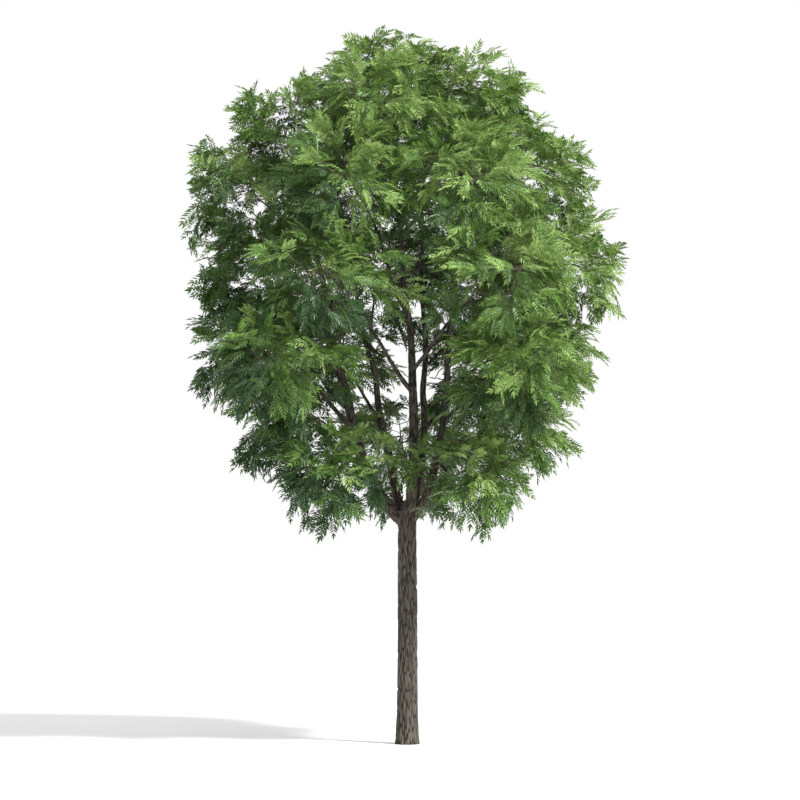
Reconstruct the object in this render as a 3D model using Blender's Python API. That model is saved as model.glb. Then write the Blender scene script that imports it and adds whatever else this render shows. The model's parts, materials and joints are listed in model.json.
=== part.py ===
"""A chinese honey locust 8 m tall: a clear stem that forks into five boughs, under an egg-shaped crown.

Metres, +Z up. The origin is the middle of the flat cut under the trunk, at ground level. +X is to the
right of the tree as it is seen from the front, and +Y goes to its back.

The trunk ends in the stubs of its fork. Five boughs go on from the stubs, side boughs leave them, and each
bough ends where it enters one mass of foliage. A mass is a stem, twigs and leaves fused into one solid that
keeps to its own space, a flattened ball cut off where a neighbour's is nearer. Each leaf here stands for a
spray of feathery leaves.
"""

import math
import random
from typing import NamedTuple

import bmesh
import bpy
from mathutils import Matrix, Vector
from mathutils.geometry import closest_point_on_tri, intersect_ray_tri

SEED = 11
GAP = 0.0003  # between pieces that meet
UP = Vector((0.0, 0.0, 1.0))

# Trunk
FORK_HEIGHT = 2.43  # where the boughs' axes leave the trunk's
TRUNK_RADIUS = 0.118  # at the ground, without the root flare
TRUNK_TAPER = 0.007  # radius lost per metre of height
ROOT_FLARE = 0.020  # radius added at the ground
FLARE_HEIGHT = 0.12
TRUNK_SWAY = 0.005  # how far the stem bends to the right at mid height
STRAIGHT_FOOT = 0.06  # the stem's first stretch, which is upright
TRUNK_STATIONS = 9
CROTCH = ((0.16, 0.90), (0.23, 0.66), (0.27, 0.30))  # heights over the fork, and shares of the radius

# Boughs
STUB_STATIONS = (0.0, 0.12, 0.26, 0.40)  # heights over the fork
STUB_CUT = 0.54  # height over the fork at which the stubs end and the boughs begin
BOUGH_FOOT = 0.70  # the first bend above that cut
BOUGH_STATIONS = 8
SIDE_STATIONS = 5
BOUGH_TIP_RADIUS = 0.014
SIDE_TIP_RADIUS = 0.012
BOUGH_THINNING = 1.15
SIDE_SHARE = 0.58  # a side bough's radius at its foot, as a share of its bough's there
SIDE_RADIUS = 0.036  # and no more than this
WANDER = 0.022  # how far a bough strays from its smooth line
WANDER_WAVE = 1.15  # height of one such bend
ENTRY = 0.50  # how far from its centre a bough enters a mass, in radii

# Masses
FLATNESS = 0.88  # a mass's height to its width
CELL_MARGIN = 0.004  # kept to the planes between neighbouring masses
LIMB_MARGIN = 0.005  # kept between twigs or leaves and a limb
LIMB_STEP = 0.015  # the step along a limb at which that is looked at
STEM_REACH = 0.40  # how far past its centre a mass's stem ends, in radii
TWIG_REACH = 0.55  # how far out a twig ends, as a share of the way to the edge of its space
TWIGS = 4
SMALL_MASS = 0.45  # a mass with a smaller radius than this is a tuft, with two twigs fewer
OUTWARD_BIAS = 0.20  # how much more the twigs of a mass point away from the tree's axis
STEM_RADIUS = 0.0125
TWIG_RADIUS = 0.0110
TWIG_TIP_RADIUS = 0.0085

# Leaves
LEAF_LENGTH = 0.64
LEAF_WIDTH = 0.50
LEAF_THICKNESS = 0.012
LEAF_WIDEST = 0.55  # where along its length a leaf is widest
LEAF_ARCH = 0.05  # how far a leaf's back stands above the line from its root to its tip, by length
LEAF_SUNK = 0.0005  # how far past the twig's axis a leaf's root goes
LEAF_SHRINK = (1.0, 0.82, 0.66, 0.5)  # the lengths that are tried in turn
LEAF_TRIES = 20  # of which the one that fills the space most evenly is taken
LEAF_SLOTS = ((0.0, 0.0), (0.36, 1.0), (0.42, -1.0), (0.72, 1.0))  # way back along a twig, turn to its side
MAIN_TWIGS = 2  # the stem and the outermost twig have a leaf in each slot, and the others in three


class Bough(NamedTuple):
    """A main bough: it swings out from the fork by spread while it turns up, then leans on outwards."""

    name: str
    azimuth: float  # degrees in plan, from +X towards +Y
    spread: float
    turn: float  # height over which it turns up
    lean: float  # run per rise
    radius: float  # at the fork
    mass: str  # the mass that its tip enters


class Mass(NamedTuple):
    """A mass of foliage: the place and size of its space, and the bough that its side bough leaves."""

    name: str
    azimuth: float
    reach: float  # from the tree's axis to the middle of the mass
    height: float
    radius: float
    bough: str
    leaves_at: float  # height at which its side bough leaves that bough


BOUGHS = (
    Bough("left", 176.0, 0.36, 0.35, 0.25, 0.074, "head_left"),
    Bough("back_left", 124.0, 0.20, 0.30, 0.22, 0.056, "shoulder_back_left"),
    Bough("centre", -38.0, 0.06, 0.30, 0.06, 0.066, "top"),
    Bough("right", 2.0, 0.25, 0.30, 0.15, 0.052, "head_right"),
    Bough("back_right", 62.0, 0.24, 0.30, 0.20, 0.050, "head_back"),
)

MASSES = (
    Mass("skirt_left", 214.0, 0.88, 2.92, 0.64, "left", 3.10),
    Mass("skirt_right", 318.0, 0.86, 2.88, 0.58, "right", 3.10),
    Mass("low_left", 172.0, 1.18, 3.56, 0.80, "left", 3.32),
    Mass("low_right", 0.0, 1.04, 3.42, 0.76, "right", 3.28),
    Mass("low_front", 272.0, 0.50, 3.00, 0.42, "centre", 3.10),
    Mass("low_back", 92.0, 1.08, 3.26, 0.84, "back_left", 3.14),
    Mass("waist_left", 178.0, 1.54, 4.42, 0.88, "left", 3.72),
    Mass("waist_right", 4.0, 1.30, 4.42, 0.82, "right", 3.92),
    Mass("waist_front_left", 219.0, 1.66, 4.08, 0.76, "left", 3.50),
    Mass("waist_front_right", 318.0, 1.52, 4.06, 0.72, "right", 3.60),
    Mass("waist_back_left", 132.0, 1.46, 4.40, 0.88, "back_left", 3.66),
    Mass("waist_back_right", 52.0, 1.42, 4.16, 0.86, "back_right", 3.54),
    Mass("middle_left", 184.0, 1.56, 5.28, 0.86, "left", 4.52),
    Mass("middle_right", 0.0, 1.70, 5.22, 0.88, "right", 4.45),
    Mass("middle_front_left", 237.0, 1.52, 4.96, 0.84, "centre", 3.90),
    Mass("middle_front_right", 307.0, 1.54, 5.02, 0.82, "centre", 4.15),
    Mass("middle_back_left", 104.0, 1.46, 5.30, 0.88, "back_left", 4.40),
    Mass("middle_back_right", 48.0, 1.56, 5.00, 0.88, "back_right", 4.26),
    Mass("shoulder_left", 180.0, 1.76, 6.08, 0.84, "left", 5.25),
    Mass("shoulder_right", 2.0, 1.16, 6.32, 0.84, "right", 5.30),
    Mass("shoulder_front_left", 243.0, 1.30, 6.02, 0.86, "centre", 4.76),
    Mass("shoulder_front_right", 294.0, 1.28, 5.96, 0.86, "centre", 4.98),
    Mass("shoulder_back_left", 122.0, 1.36, 6.30, 0.86, "", 0.0),
    Mass("shoulder_back_right", 58.0, 1.36, 5.98, 0.86, "back_right", 5.10),
    Mass("head_left", 180.0, 1.22, 6.74, 0.80, "", 0.0),
    Mass("head_right", 350.0, 0.66, 7.12, 0.72, "", 0.0),
    Mass("head_front", 250.0, 0.92, 6.86, 0.76, "centre", 5.85),
    Mass("head_back", 76.0, 0.84, 6.88, 0.78, "", 0.0),
    Mass("top", 178.0, 0.14, 7.38, 0.72, "", 0.0),
)


def across(azimuth):
    """The level direction at an azimuth in degrees."""
    angle = math.radians(azimuth)
    return Vector((math.cos(angle), math.sin(angle), 0.0))


def smooth(share):
    """0 to 1 with level ends."""
    share = min(1.0, max(0.0, share))
    return share * share * (3.0 - 2.0 * share)


def centre_of(mass):
    return across(mass.azimuth) * mass.reach + UP * mass.height


def trunk_axis(height):
    share = (height - STRAIGHT_FOOT) / (FORK_HEIGHT - STRAIGHT_FOOT)
    return Vector((TRUNK_SWAY * math.sin(math.pi * min(1.0, max(0.0, share))) ** 2, 0.0, height))


def trunk_radius(height):
    return TRUNK_RADIUS - TRUNK_TAPER * height + ROOT_FLARE * math.exp(-height / FLARE_HEIGHT)


class Limb:
    """A tapering limb: points along its axis and the radius at each."""

    def __init__(self, points, radii):
        self.points = points
        self.radii = radii

    def at_height(self, height):
        """(point, direction, radius) where the limb passes a height."""
        for i in range(len(self.points) - 1):
            low, high = self.points[i], self.points[i + 1]
            if high.z >= height or i == len(self.points) - 2:
                share = (height - low.z) / (high.z - low.z)
                radius = self.radii[i] + (self.radii[i + 1] - self.radii[i]) * share
                return low.lerp(high, share), (high - low).normalized(), radius

    def samples(self, step):
        """Points along the axis at most a step apart, each with its radius."""
        found = []
        for i in range(len(self.points) - 1):
            low, high = self.points[i], self.points[i + 1]
            count = math.ceil((high - low).length / step)
            for k in range(count):
                share = k / count
                radius = self.radii[i] + (self.radii[i + 1] - self.radii[i]) * share
                found.append((low.lerp(high, share), radius))
        return [*found, (self.points[-1], self.radii[-1])]


def trunk_limb():
    """The trunk's own line: its stem to the fork, and the rounded crotch above it."""
    step = (FORK_HEIGHT - STRAIGHT_FOOT) / TRUNK_STATIONS
    heights = [0.0, STRAIGHT_FOOT] + [STRAIGHT_FOOT + step * i for i in range(1, TRUNK_STATIONS + 1)]
    radii = [trunk_radius(z) for z in heights]
    heights += [FORK_HEIGHT + rise for rise, _ in CROTCH]
    radii += [trunk_radius(FORK_HEIGHT) * share for _, share in CROTCH]
    return Limb([trunk_axis(z) for z in heights], radii)


def bough_limb(bough):
    """The whole line of a main bough, from the trunk's axis at the fork to the mass that it enters."""
    mass = next(m for m in MASSES if m.name == bough.mass)
    phase = random.Random(f"{SEED} {bough.name}").uniform(0.0, 2.0 * math.pi)
    out, start = across(bough.azimuth), trunk_axis(FORK_HEIGHT)
    entry = centre_of(mass) - UP * (ENTRY * FLATNESS * mass.radius)
    rise = entry.z - FORK_HEIGHT
    upper = (rise - BOUGH_FOOT) / BOUGH_STATIONS
    heights = [*STUB_STATIONS, *(BOUGH_FOOT + upper * i for i in range(BOUGH_STATIONS + 1))]

    def line(height):
        swing = bough.spread * (1.0 - math.exp(-height / bough.turn)) + bough.lean * height
        return start + out * swing + UP * height

    points, radii = [], []
    for height in heights:
        share = min(1.0, height / rise)
        stray = WANDER * smooth(3.0 * share - 0.3) * smooth(2.0 - 2.0 * share)
        angle = phase + 2.0 * math.pi * height / WANDER_WAVE
        point = line(height) + (entry - line(rise)) * smooth(share) ** 1.5
        points.append(point + Vector((math.cos(angle), math.sin(angle), 0.0)) * stray)
        thin = (1.0 - share) ** BOUGH_THINNING
        radii.append(BOUGH_TIP_RADIUS + (bough.radius - BOUGH_TIP_RADIUS) * thin)
    return Limb(points, radii)


def cut_limb(limb, height):
    """A limb cut in two where it passes a height, square to its axis, with the gap between the halves."""
    point, along, radius = limb.at_height(height)
    lower = [i for i, p in enumerate(limb.points) if p.z < height]
    upper = [i for i, p in enumerate(limb.points) if p.z > height]
    stub = Limb([limb.points[i] for i in lower], [limb.radii[i] for i in lower])
    stub.points.append(point - along * (GAP / 2))
    stub.radii.append(radius)
    bough = Limb([point + along * (GAP / 2)], [radius])
    bough.points += [limb.points[i] for i in upper]
    bough.radii += [limb.radii[i] for i in upper]
    return stub, bough


def side_limb(mass, bough):
    """A side bough's line, from the axis of the bough that it leaves to the mass that it enters."""
    start, along, radius = bough.at_height(mass.leaves_at)
    centre = centre_of(mass)
    way = centre - start
    out = Vector((way.x, way.y, 0.0)).normalized()
    arrive = (way.normalized() + out * 0.35).normalized()
    entry = centre - Vector((arrive.x, arrive.y, arrive.z * FLATNESS)) * (ENTRY * mass.radius)
    length = (entry - start).length
    leave = (along * 0.45 + out * 0.75 + way.normalized() * 0.35).normalized()
    first, second = start + leave * length * 0.36, entry - arrive * length * 0.33
    foot = max(SIDE_TIP_RADIUS * 1.25, min(SIDE_SHARE * radius, SIDE_RADIUS))
    points, radii = [], []
    for i in range(SIDE_STATIONS + 1):
        t = i / SIDE_STATIONS
        s = 1.0 - t
        points.append(start * s**3 + first * (3 * s * s * t) + second * (3 * s * t * t) + entry * t**3)
        radii.append(SIDE_TIP_RADIUS + (foot - SIDE_TIP_RADIUS) * s**0.9)
    return Limb(points, radii)


class Space:
    """The space of one mass: a flattened ball, cut off at the planes between it and its neighbours'."""

    def __init__(self, mass):
        self.centre, self.radius = centre_of(mass), mass.radius
        self.others = [
            (centre_of(m), m.radius)
            for m in MASSES
            if m is not mass and self.apart(centre_of(m)).length < mass.radius + m.radius
        ]

    def apart(self, point):
        """From the centre to a point, with heights stretched so that the flattened ball is round."""
        way = point - self.centre
        return Vector((way.x, way.y, way.z / FLATNESS))

    def holds(self, point, girth=0.0):
        """True if a ball as thick as girth lies inside."""
        here = self.apart(point)
        if here.length + girth > self.radius:
            return False
        for centre, radius in self.others:
            other = self.apart(centre)
            behind = (here - other).length_squared - radius**2 - here.length_squared + self.radius**2
            if behind / (2.0 * other.length) < (girth + CELL_MARGIN) / FLATNESS:
                return False
        return True

    def edge(self, way):
        """How far the space goes from its centre along a direction."""
        low, high = 0.0, self.radius
        for _ in range(14):
            middle = (low + high) / 2.0
            if self.holds(self.centre + way * middle):
                low = middle
            else:
                high = middle
        return low


class Growth:
    """The stem, twigs and leaves of one mass, worked out before anything is made.

    The stem goes on from the tip of the mass's bough, and twigs leave it towards directions that are even
    all round. Each twig, and the stem, carries a leaf at its tip and others on its sides.
    """

    def __init__(self, mass, carrier, limbs):
        self.space = Space(mass)
        self.carrier = carrier
        self.dice = random.Random(f"{SEED} {mass.name}")
        centre = self.space.centre
        self.out = Vector((centre.x, centre.y, 0.25)).normalized()
        self.near = [
            (limb, point, radius)
            for limb in limbs
            for point, radius in limb.samples(LIMB_STEP)
            if (point - centre).length < mass.radius + radius + LIMB_MARGIN
        ]
        self.twigs = []  # (root, tip, radius at the root, radius at the tip)
        self.leaves = []  # (root, length, direction, face)
        self.grow_stem()
        self.grow_twig(self.out)
        for k in range(1, TWIGS if mass.radius > SMALL_MASS else TWIGS - 2):
            self.grow_twig(twig_way(k, self.out))
        for i, (root, tip, _, tip_radius) in enumerate(self.twigs):
            for back, turn in LEAF_SLOTS[: 4 if i < MAIN_TWIGS else 3]:
                self.grow_leaf(root, tip, tip_radius, back, turn)

    def clear_twig(self, root, tip, girth, besides=None):
        """True if a twig lies in the space and clear of every limb, besides the one that carries it."""
        if not self.space.holds(tip, girth):
            return False
        along = tip - root
        for limb, point, radius in self.near:
            share = min(1.0, max(0.0, (point - root).dot(along) / along.length_squared))
            apart = (point - root - along * share).length
            if limb is not besides and apart < radius + girth + LIMB_MARGIN:
                return False
        return True

    def clear_leaf(self, corners):
        """True if a leaf lies in the space and clear of every limb."""
        if not all(self.space.holds(p) for name, p in corners.items() if name != "root"):
            return False
        root, tip, upper = corners["root"], corners["tip"], corners["upper"]
        for side in (corners["left"], corners["right"]):
            for face in ((root, side, upper), (tip, side, upper)):
                for _, point, radius in self.near:
                    apart = (closest_point_on_tri(point, *face) - point).length
                    if apart < radius + LEAF_THICKNESS + LIMB_MARGIN:
                        return False
        return not self.crosses(corners)

    def crosses(self, corners):
        """True if a leaf would cut through another one, or through a twig."""
        faces, edges = flat_faces(corners), flat_edges(corners)
        for root, tip, _, _ in self.twigs:
            away = (tip - root) * 0.04
            if any(cuts((root + away, tip - away), face) for face in faces):
                return True
        for leaf in self.leaves:
            other = leaf_corners(*leaf)
            if (other["upper"] - corners["upper"]).length > 1.4 * LEAF_LENGTH:
                continue
            if any(cuts(edge, face) for edge in edges for face in flat_faces(other)):
                return True
            if any(cuts(edge, face) for edge in flat_edges(other) for face in faces):
                return True
        return False

    def grow_stem(self):
        """The stem, up and outwards from the bough's tip past the middle of the space."""
        space = self.space
        ahead = (self.carrier.points[-1] - self.carrier.points[-2]).normalized()
        self.foot = self.carrier.points[-1] + ahead * GAP
        self.ahead = ahead
        for turn in (0.0, 40.0, -40.0, 80.0, -80.0, 120.0, -120.0, 180.0):
            lift = Matrix.Rotation(math.radians(turn), 3, "Z") @ (self.out * 0.7 + UP * 0.7).normalized()
            reach = min(STEM_REACH * space.radius, 0.8 * space.edge(lift))
            self.end = space.centre + lift * reach
            if self.clear_twig(self.foot, self.end, STEM_RADIUS, self.carrier):
                break
        self.twigs.append((self.foot, self.end, STEM_RADIUS, TWIG_RADIUS))

    def grow_twig(self, way):
        """One twig, from the stem towards a direction. It forks off below where it points."""
        tip = self.space.centre + way * (TWIG_REACH * self.space.edge(way))
        stem = self.end - self.foot
        share = (tip - self.foot).dot(stem) / stem.length_squared - 0.35
        root = self.foot + stem * min(0.86, max(0.16, share))
        if (tip - root).length > 0.1 and self.clear_twig(root, tip, TWIG_RADIUS):
            self.twigs.append((root, tip, TWIG_RADIUS, TWIG_TIP_RADIUS))

    def grow_leaf(self, root, tip, girth, back, turn):
        """One leaf on a twig, the one of several tries that lies farthest from the others and is longest."""
        along = (tip - root).normalized()
        side = along.cross(UP).normalized() * turn
        base = tip - along * (girth * 0.6 + back * (tip - root).length)
        best, best_score = None, -1.0
        for _ in range(LEAF_TRIES):
            way = (along * 0.6 + side + self.jitter(0.45)).normalized()
            middle = base + way * LEAF_LENGTH / 2.0 - self.space.centre
            face = middle.normalized() if turn else way.cross(UP) * self.dice.choice((1.0, -1.0))
            face = face + UP * 0.5 + self.jitter(0.35)
            for shrink in LEAF_SHRINK:
                leaf = (base - way * LEAF_SUNK, LEAF_LENGTH * shrink, way, face)
                if self.clear_leaf(leaf_corners(*leaf)):
                    score = shrink + 0.8 * self.room_at(leaf)
                    if score > best_score:
                        best, best_score = leaf, score
                    break
        if best:
            self.leaves.append(best)

    def room_at(self, leaf):
        """How far a leaf's middle is from those of the others, in leaf lengths, at most 1."""
        middles = [r + w * length / 2.0 for r, length, w, _ in self.leaves]
        here = leaf[0] + leaf[2] * leaf[1] / 2.0
        return min([1.0, *((here - m).length / LEAF_LENGTH for m in middles)])

    def jitter(self, size):
        return Vector([self.dice.uniform(-size, size) for _ in range(3)])


def twig_way(k, out):
    """The k-th of a spread of directions that stays even however many are taken, biased outwards."""
    level = 1.0 - 2.0 * ((0.5 + k * 0.7548776662) % 1.0)
    turn = 2.0 * math.pi * ((0.5 + k * 0.5698402910) % 1.0)
    ring = math.sqrt(1.0 - level * level)
    even = Vector((ring * math.cos(turn), ring * math.sin(turn), level))
    return (even + out * OUTWARD_BIAS).normalized()


def flat_faces(corners):
    """A leaf's two halves, as flat triangles. They start a little way out from the root, which is in a twig."""
    root = corners["root"].lerp(corners["tip"], 0.06)
    return [(root, corners["tip"], corners[side]) for side in ("left", "right")]


def flat_edges(corners):
    """A leaf's outline and midrib, as pairs of points."""
    root = corners["root"].lerp(corners["tip"], 0.06)
    sides = [(end, corners[side]) for end in (root, corners["tip"]) for side in ("left", "right")]
    return [*sides, (root, corners["tip"])]


def cuts(edge, face):
    """True if an edge passes through a triangle."""
    along = edge[1] - edge[0]
    hit = intersect_ray_tri(*face, along, edge[0], True)
    return hit is not None and (hit - edge[0]).dot(along) < along.length_squared


def leaf_corners(root, length, way, face):
    """A leaf's six corners. It lies along its way from its root, with its upper face towards face."""
    normal = (face - way * face.dot(way)).normalized()
    side = normal.cross(way)
    width, arch = LEAF_WIDTH * length / LEAF_LENGTH, LEAF_ARCH * length
    widest = root + way * (LEAF_WIDEST * length) + normal * (0.35 * arch)
    back = root + way * (LEAF_WIDEST * 0.55 * length) + normal * arch
    return {
        "root": root.copy(),
        "tip": root + way * length,
        "left": widest + side * (width / 2.0),
        "right": widest - side * (width / 2.0),
        "upper": back + normal * (LEAF_THICKNESS / 2.0),
        "lower": back - normal * (LEAF_THICKNESS / 2.0),
    }


def new_collection(name, parent):
    collection = bpy.data.collections.new(name)
    parent.children.link(collection)
    return collection


def material(name, colour, roughness):
    made = bpy.data.materials.new(name)
    made.use_nodes = True
    shader = made.node_tree.nodes["Principled BSDF"]
    shader.inputs["Base Color"].default_value = (*colour, 1.0)
    shader.inputs["Roughness"].default_value = roughness
    shader.inputs["Metallic"].default_value = 0.0
    return made


def object_of(name, shape, collection):
    """A mesh object with the shape of a bmesh, which is freed."""
    mesh = bpy.data.meshes.new(name)
    shape.to_mesh(mesh)
    shape.free()
    obj = bpy.data.objects.new(name, mesh)
    collection.objects.link(obj)
    return obj


def make_tube(name, limb, collection, resolution):
    """A limb as a round tube with closed ends: a bevelled curve made mesh, its caps welded."""
    data = bpy.data.curves.new(name, "CURVE")
    data.dimensions = "3D"
    data.bevel_depth = 1.0
    data.bevel_resolution = resolution
    data.use_fill_caps = True
    spline = data.splines.new("POLY")
    spline.points.add(len(limb.points) - 1)
    for made, point, radius in zip(spline.points, limb.points, limb.radii):
        made.co = (*point, 1.0)
        made.radius = radius
    curve = bpy.data.objects.new(name, data)
    collection.objects.link(curve)
    bpy.context.view_layer.update()
    evaluated = curve.evaluated_get(bpy.context.evaluated_depsgraph_get())
    shape = bmesh.new()
    shape.from_mesh(bpy.data.meshes.new_from_object(evaluated))
    bpy.data.objects.remove(curve)
    bmesh.ops.remove_doubles(shape, verts=shape.verts, dist=0.00005)
    bmesh.ops.recalc_face_normals(shape, faces=shape.faces)
    return object_of(name, shape, collection)


def cutter_of(obj, cutters):
    """A copy of a limb that is larger all round by a little over the gap, to cut other limbs with."""
    shape = bmesh.new()
    shape.from_mesh(obj.data)
    shape.normal_update()
    for vert in shape.verts:
        vert.co += vert.normal * (1.25 * GAP)
    cutter = object_of(f"cutter_{obj.name}", shape, cutters)
    cutter.hide_render = True
    cutter.display_type = "WIRE"
    return cutter


def join(obj, others):
    """Fuses the objects of a collection into one, as a mesh of its own, and removes them."""
    union = obj.modifiers.new("fuse", "BOOLEAN")
    union.operation = "UNION"
    union.solver = "EXACT"
    union.operand_type = "COLLECTION"
    union.collection = others
    bpy.context.view_layer.update()
    evaluated = obj.evaluated_get(bpy.context.evaluated_depsgraph_get())
    mesh = bpy.data.meshes.new_from_object(evaluated)
    obj.modifiers.remove(union)
    obj.data = mesh
    for other in list(others.objects):
        bpy.data.objects.remove(other)
    bpy.data.collections.remove(others)


def keep_largest_shell(mesh):
    """Drops loose scraps and the walls of any hollow that fusing has sealed."""
    shape = bmesh.new()
    shape.from_mesh(mesh)
    left, largest = set(shape.verts), set()
    while left:
        shell, edge = set(), {left.pop()}
        while edge:
            vert = edge.pop()
            shell.add(vert)
            edge |= {e.other_vert(vert) for e in vert.link_edges} - shell
        left -= shell
        largest = max(largest, shell, key=len)
    bmesh.ops.delete(shape, geom=[v for v in shape.verts if v not in largest], context="VERTS")
    bmesh.ops.triangulate(shape, faces=shape.faces)
    shape.to_mesh(mesh)
    shape.free()


def make_trunk(stubs, parts, bark):
    """The trunk from its flat cut to its fork, with the stub of each bough fused on."""
    trunk = make_tube("trunk", trunk_limb(), parts, 5)
    head = new_collection("fork stubs", parts)
    for name, stub in stubs.items():
        make_tube(f"stub_{name}", stub, head, 2)
    join(trunk, head)
    keep_largest_shell(trunk.data)
    trunk.data.materials.append(bark)
    return trunk


def make_side_bough(mass, limb, cutters, parts, bark):
    """A side bough, with its foot cut to the round side of the bough that it leaves."""
    side = make_tube(f"side_bough_{mass.name}", limb, parts, 1)
    for cutter in cutters:
        cut = side.modifiers.new("foot", "BOOLEAN")
        cut.operation = "DIFFERENCE"
        cut.solver = "EXACT"
        cut.object = cutter
    side.data.materials.append(bark)


def make_twig(name, root, tip, root_radius, tip_radius, collection):
    """A three-sided twig."""
    way = tip - root
    turned = way.to_track_quat("Z", "Y").to_matrix().to_4x4()
    place = Matrix.Translation((root + tip) / 2.0) @ turned
    shape = bmesh.new()
    bmesh.ops.create_cone(
        shape, cap_ends=True, segments=3, radius1=root_radius, radius2=tip_radius, depth=way.length, matrix=place
    )
    return object_of(name, shape, collection)


def make_leaf(name, leaf, collection):
    """A leaf of eight faces: a sphere of four sides and two rings, with its six corners set."""
    shape = bmesh.new()
    bmesh.ops.create_uvsphere(shape, u_segments=4, v_segments=2, radius=1.0)
    names = {(1, 0, 0): "tip", (-1, 0, 0): "root", (0, 1, 0): "left", (0, -1, 0): "right"}
    names.update({(0, 0, 1): "upper", (0, 0, -1): "lower"})
    corners = leaf_corners(*leaf)
    for vert in shape.verts:
        vert.co = corners[names[tuple(round(x) for x in vert.co)]]
    return object_of(name, shape, collection)


def make_mass(mass, growth, parts, foliage):
    """A mass's stem with its twigs and leaves fused on, its foot flush with the tip of its bough."""
    scratch = new_collection(f"growth {mass.name}", parts)
    for i, twig in enumerate(growth.twigs[1:]):
        make_twig(f"twig_{mass.name}_{i}", *twig, scratch)
    for i, leaf in enumerate(growth.leaves):
        make_leaf(f"leaf_{mass.name}_{i}", leaf, scratch)
    stem = make_twig(f"foliage_{mass.name}", *growth.twigs[0], parts)
    way = (growth.end - growth.foot).normalized()
    for vert in stem.data.vertices:
        ahead = (growth.foot - vert.co).dot(growth.ahead) / way.dot(growth.ahead)
        if abs(ahead) < STEM_RADIUS * 4.0:
            vert.co += way * ahead
    join(stem, scratch)
    keep_largest_shell(stem.data)
    stem.data.materials.append(foliage)


def main():
    for obj in list(bpy.data.objects):
        bpy.data.objects.remove(obj)
    parts = new_collection("chinese honey locust", bpy.context.scene.collection)
    cutters = new_collection("cutters", bpy.context.scene.collection)
    cutters.hide_render = True
    bark = material("bark", (0.20, 0.165, 0.12), 0.9)
    foliage = material("foliage", (0.16, 0.33, 0.06), 0.55)

    whole = {b.name: bough_limb(b) for b in BOUGHS}
    halves = {name: cut_limb(limb, FORK_HEIGHT + STUB_CUT) for name, limb in whole.items()}
    sides = {m.name: side_limb(m, whole[m.bough]) for m in MASSES if m.bough}

    trunk = make_trunk({name: stub for name, (stub, _) in halves.items()}, parts, bark)
    trunk_cutter = cutter_of(trunk, cutters)
    bough_cutters = {}
    for name, (_, limb) in halves.items():
        bough = make_tube(f"bough_{name}", limb, parts, 2)
        bough.data.materials.append(bark)
        bough_cutters[name] = cutter_of(bough, cutters)
    for mass in MASSES:
        if mass.bough:
            feet = (bough_cutters[mass.bough], trunk_cutter)
            make_side_bough(mass, sides[mass.name], feet, parts, bark)

    carriers = {b.mass: whole[b.name] for b in BOUGHS} | sides
    limbs = [trunk_limb(), *whole.values(), *sides.values()]
    for mass in MASSES:
        make_mass(mass, Growth(mass, carriers[mass.name], limbs), parts, foliage)


main()
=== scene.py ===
"""The looks of a chinese honey locust 8 m tall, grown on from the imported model's limbs.

Metres, +Z up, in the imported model's frame. The trunk and boughs get skins with the relief of their bark. Each
mass of foliage grows again by the rule that gave it its solid: a stem, twigs and sprays. Here a spray is a
midrib with side twigs and feathery leaves, where the solid has one large leaf.
"""

import json
import logging
import math
import random
from collections.abc import Callable
from dataclasses import dataclass, field
from enum import Enum
from typing import Any

import bmesh
import bpy
import numpy as np
from mathutils import Matrix, Vector, kdtree, noise
from mathutils.geometry import closest_point_on_tri, intersect_ray_tri

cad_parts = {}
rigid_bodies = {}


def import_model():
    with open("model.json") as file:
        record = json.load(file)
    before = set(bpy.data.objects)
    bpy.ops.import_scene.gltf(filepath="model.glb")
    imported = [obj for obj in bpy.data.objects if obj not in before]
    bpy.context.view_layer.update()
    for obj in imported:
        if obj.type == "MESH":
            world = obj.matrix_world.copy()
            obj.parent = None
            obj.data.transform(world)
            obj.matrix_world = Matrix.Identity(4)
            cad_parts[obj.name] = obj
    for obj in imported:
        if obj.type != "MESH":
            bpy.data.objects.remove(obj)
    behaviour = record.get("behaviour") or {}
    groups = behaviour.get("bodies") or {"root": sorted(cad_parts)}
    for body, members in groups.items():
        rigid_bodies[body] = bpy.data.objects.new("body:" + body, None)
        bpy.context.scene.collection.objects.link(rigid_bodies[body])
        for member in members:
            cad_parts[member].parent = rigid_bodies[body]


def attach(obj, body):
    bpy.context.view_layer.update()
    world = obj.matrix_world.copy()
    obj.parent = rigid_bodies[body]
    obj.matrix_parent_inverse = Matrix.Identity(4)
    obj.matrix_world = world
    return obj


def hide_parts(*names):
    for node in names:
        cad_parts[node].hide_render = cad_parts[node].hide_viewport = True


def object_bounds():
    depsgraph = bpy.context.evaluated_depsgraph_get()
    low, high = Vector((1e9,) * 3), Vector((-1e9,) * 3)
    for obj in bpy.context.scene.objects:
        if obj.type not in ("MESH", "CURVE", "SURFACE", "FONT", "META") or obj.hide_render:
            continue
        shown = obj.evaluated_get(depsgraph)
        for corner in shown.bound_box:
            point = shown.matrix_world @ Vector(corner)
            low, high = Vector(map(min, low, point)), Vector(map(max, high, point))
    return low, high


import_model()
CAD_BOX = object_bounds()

log = logging.getLogger("honey_locust")

BODY = "root"
SEED = 11
GAP = 0.0003
UP = Vector((0.0, 0.0, 1.0))

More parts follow.
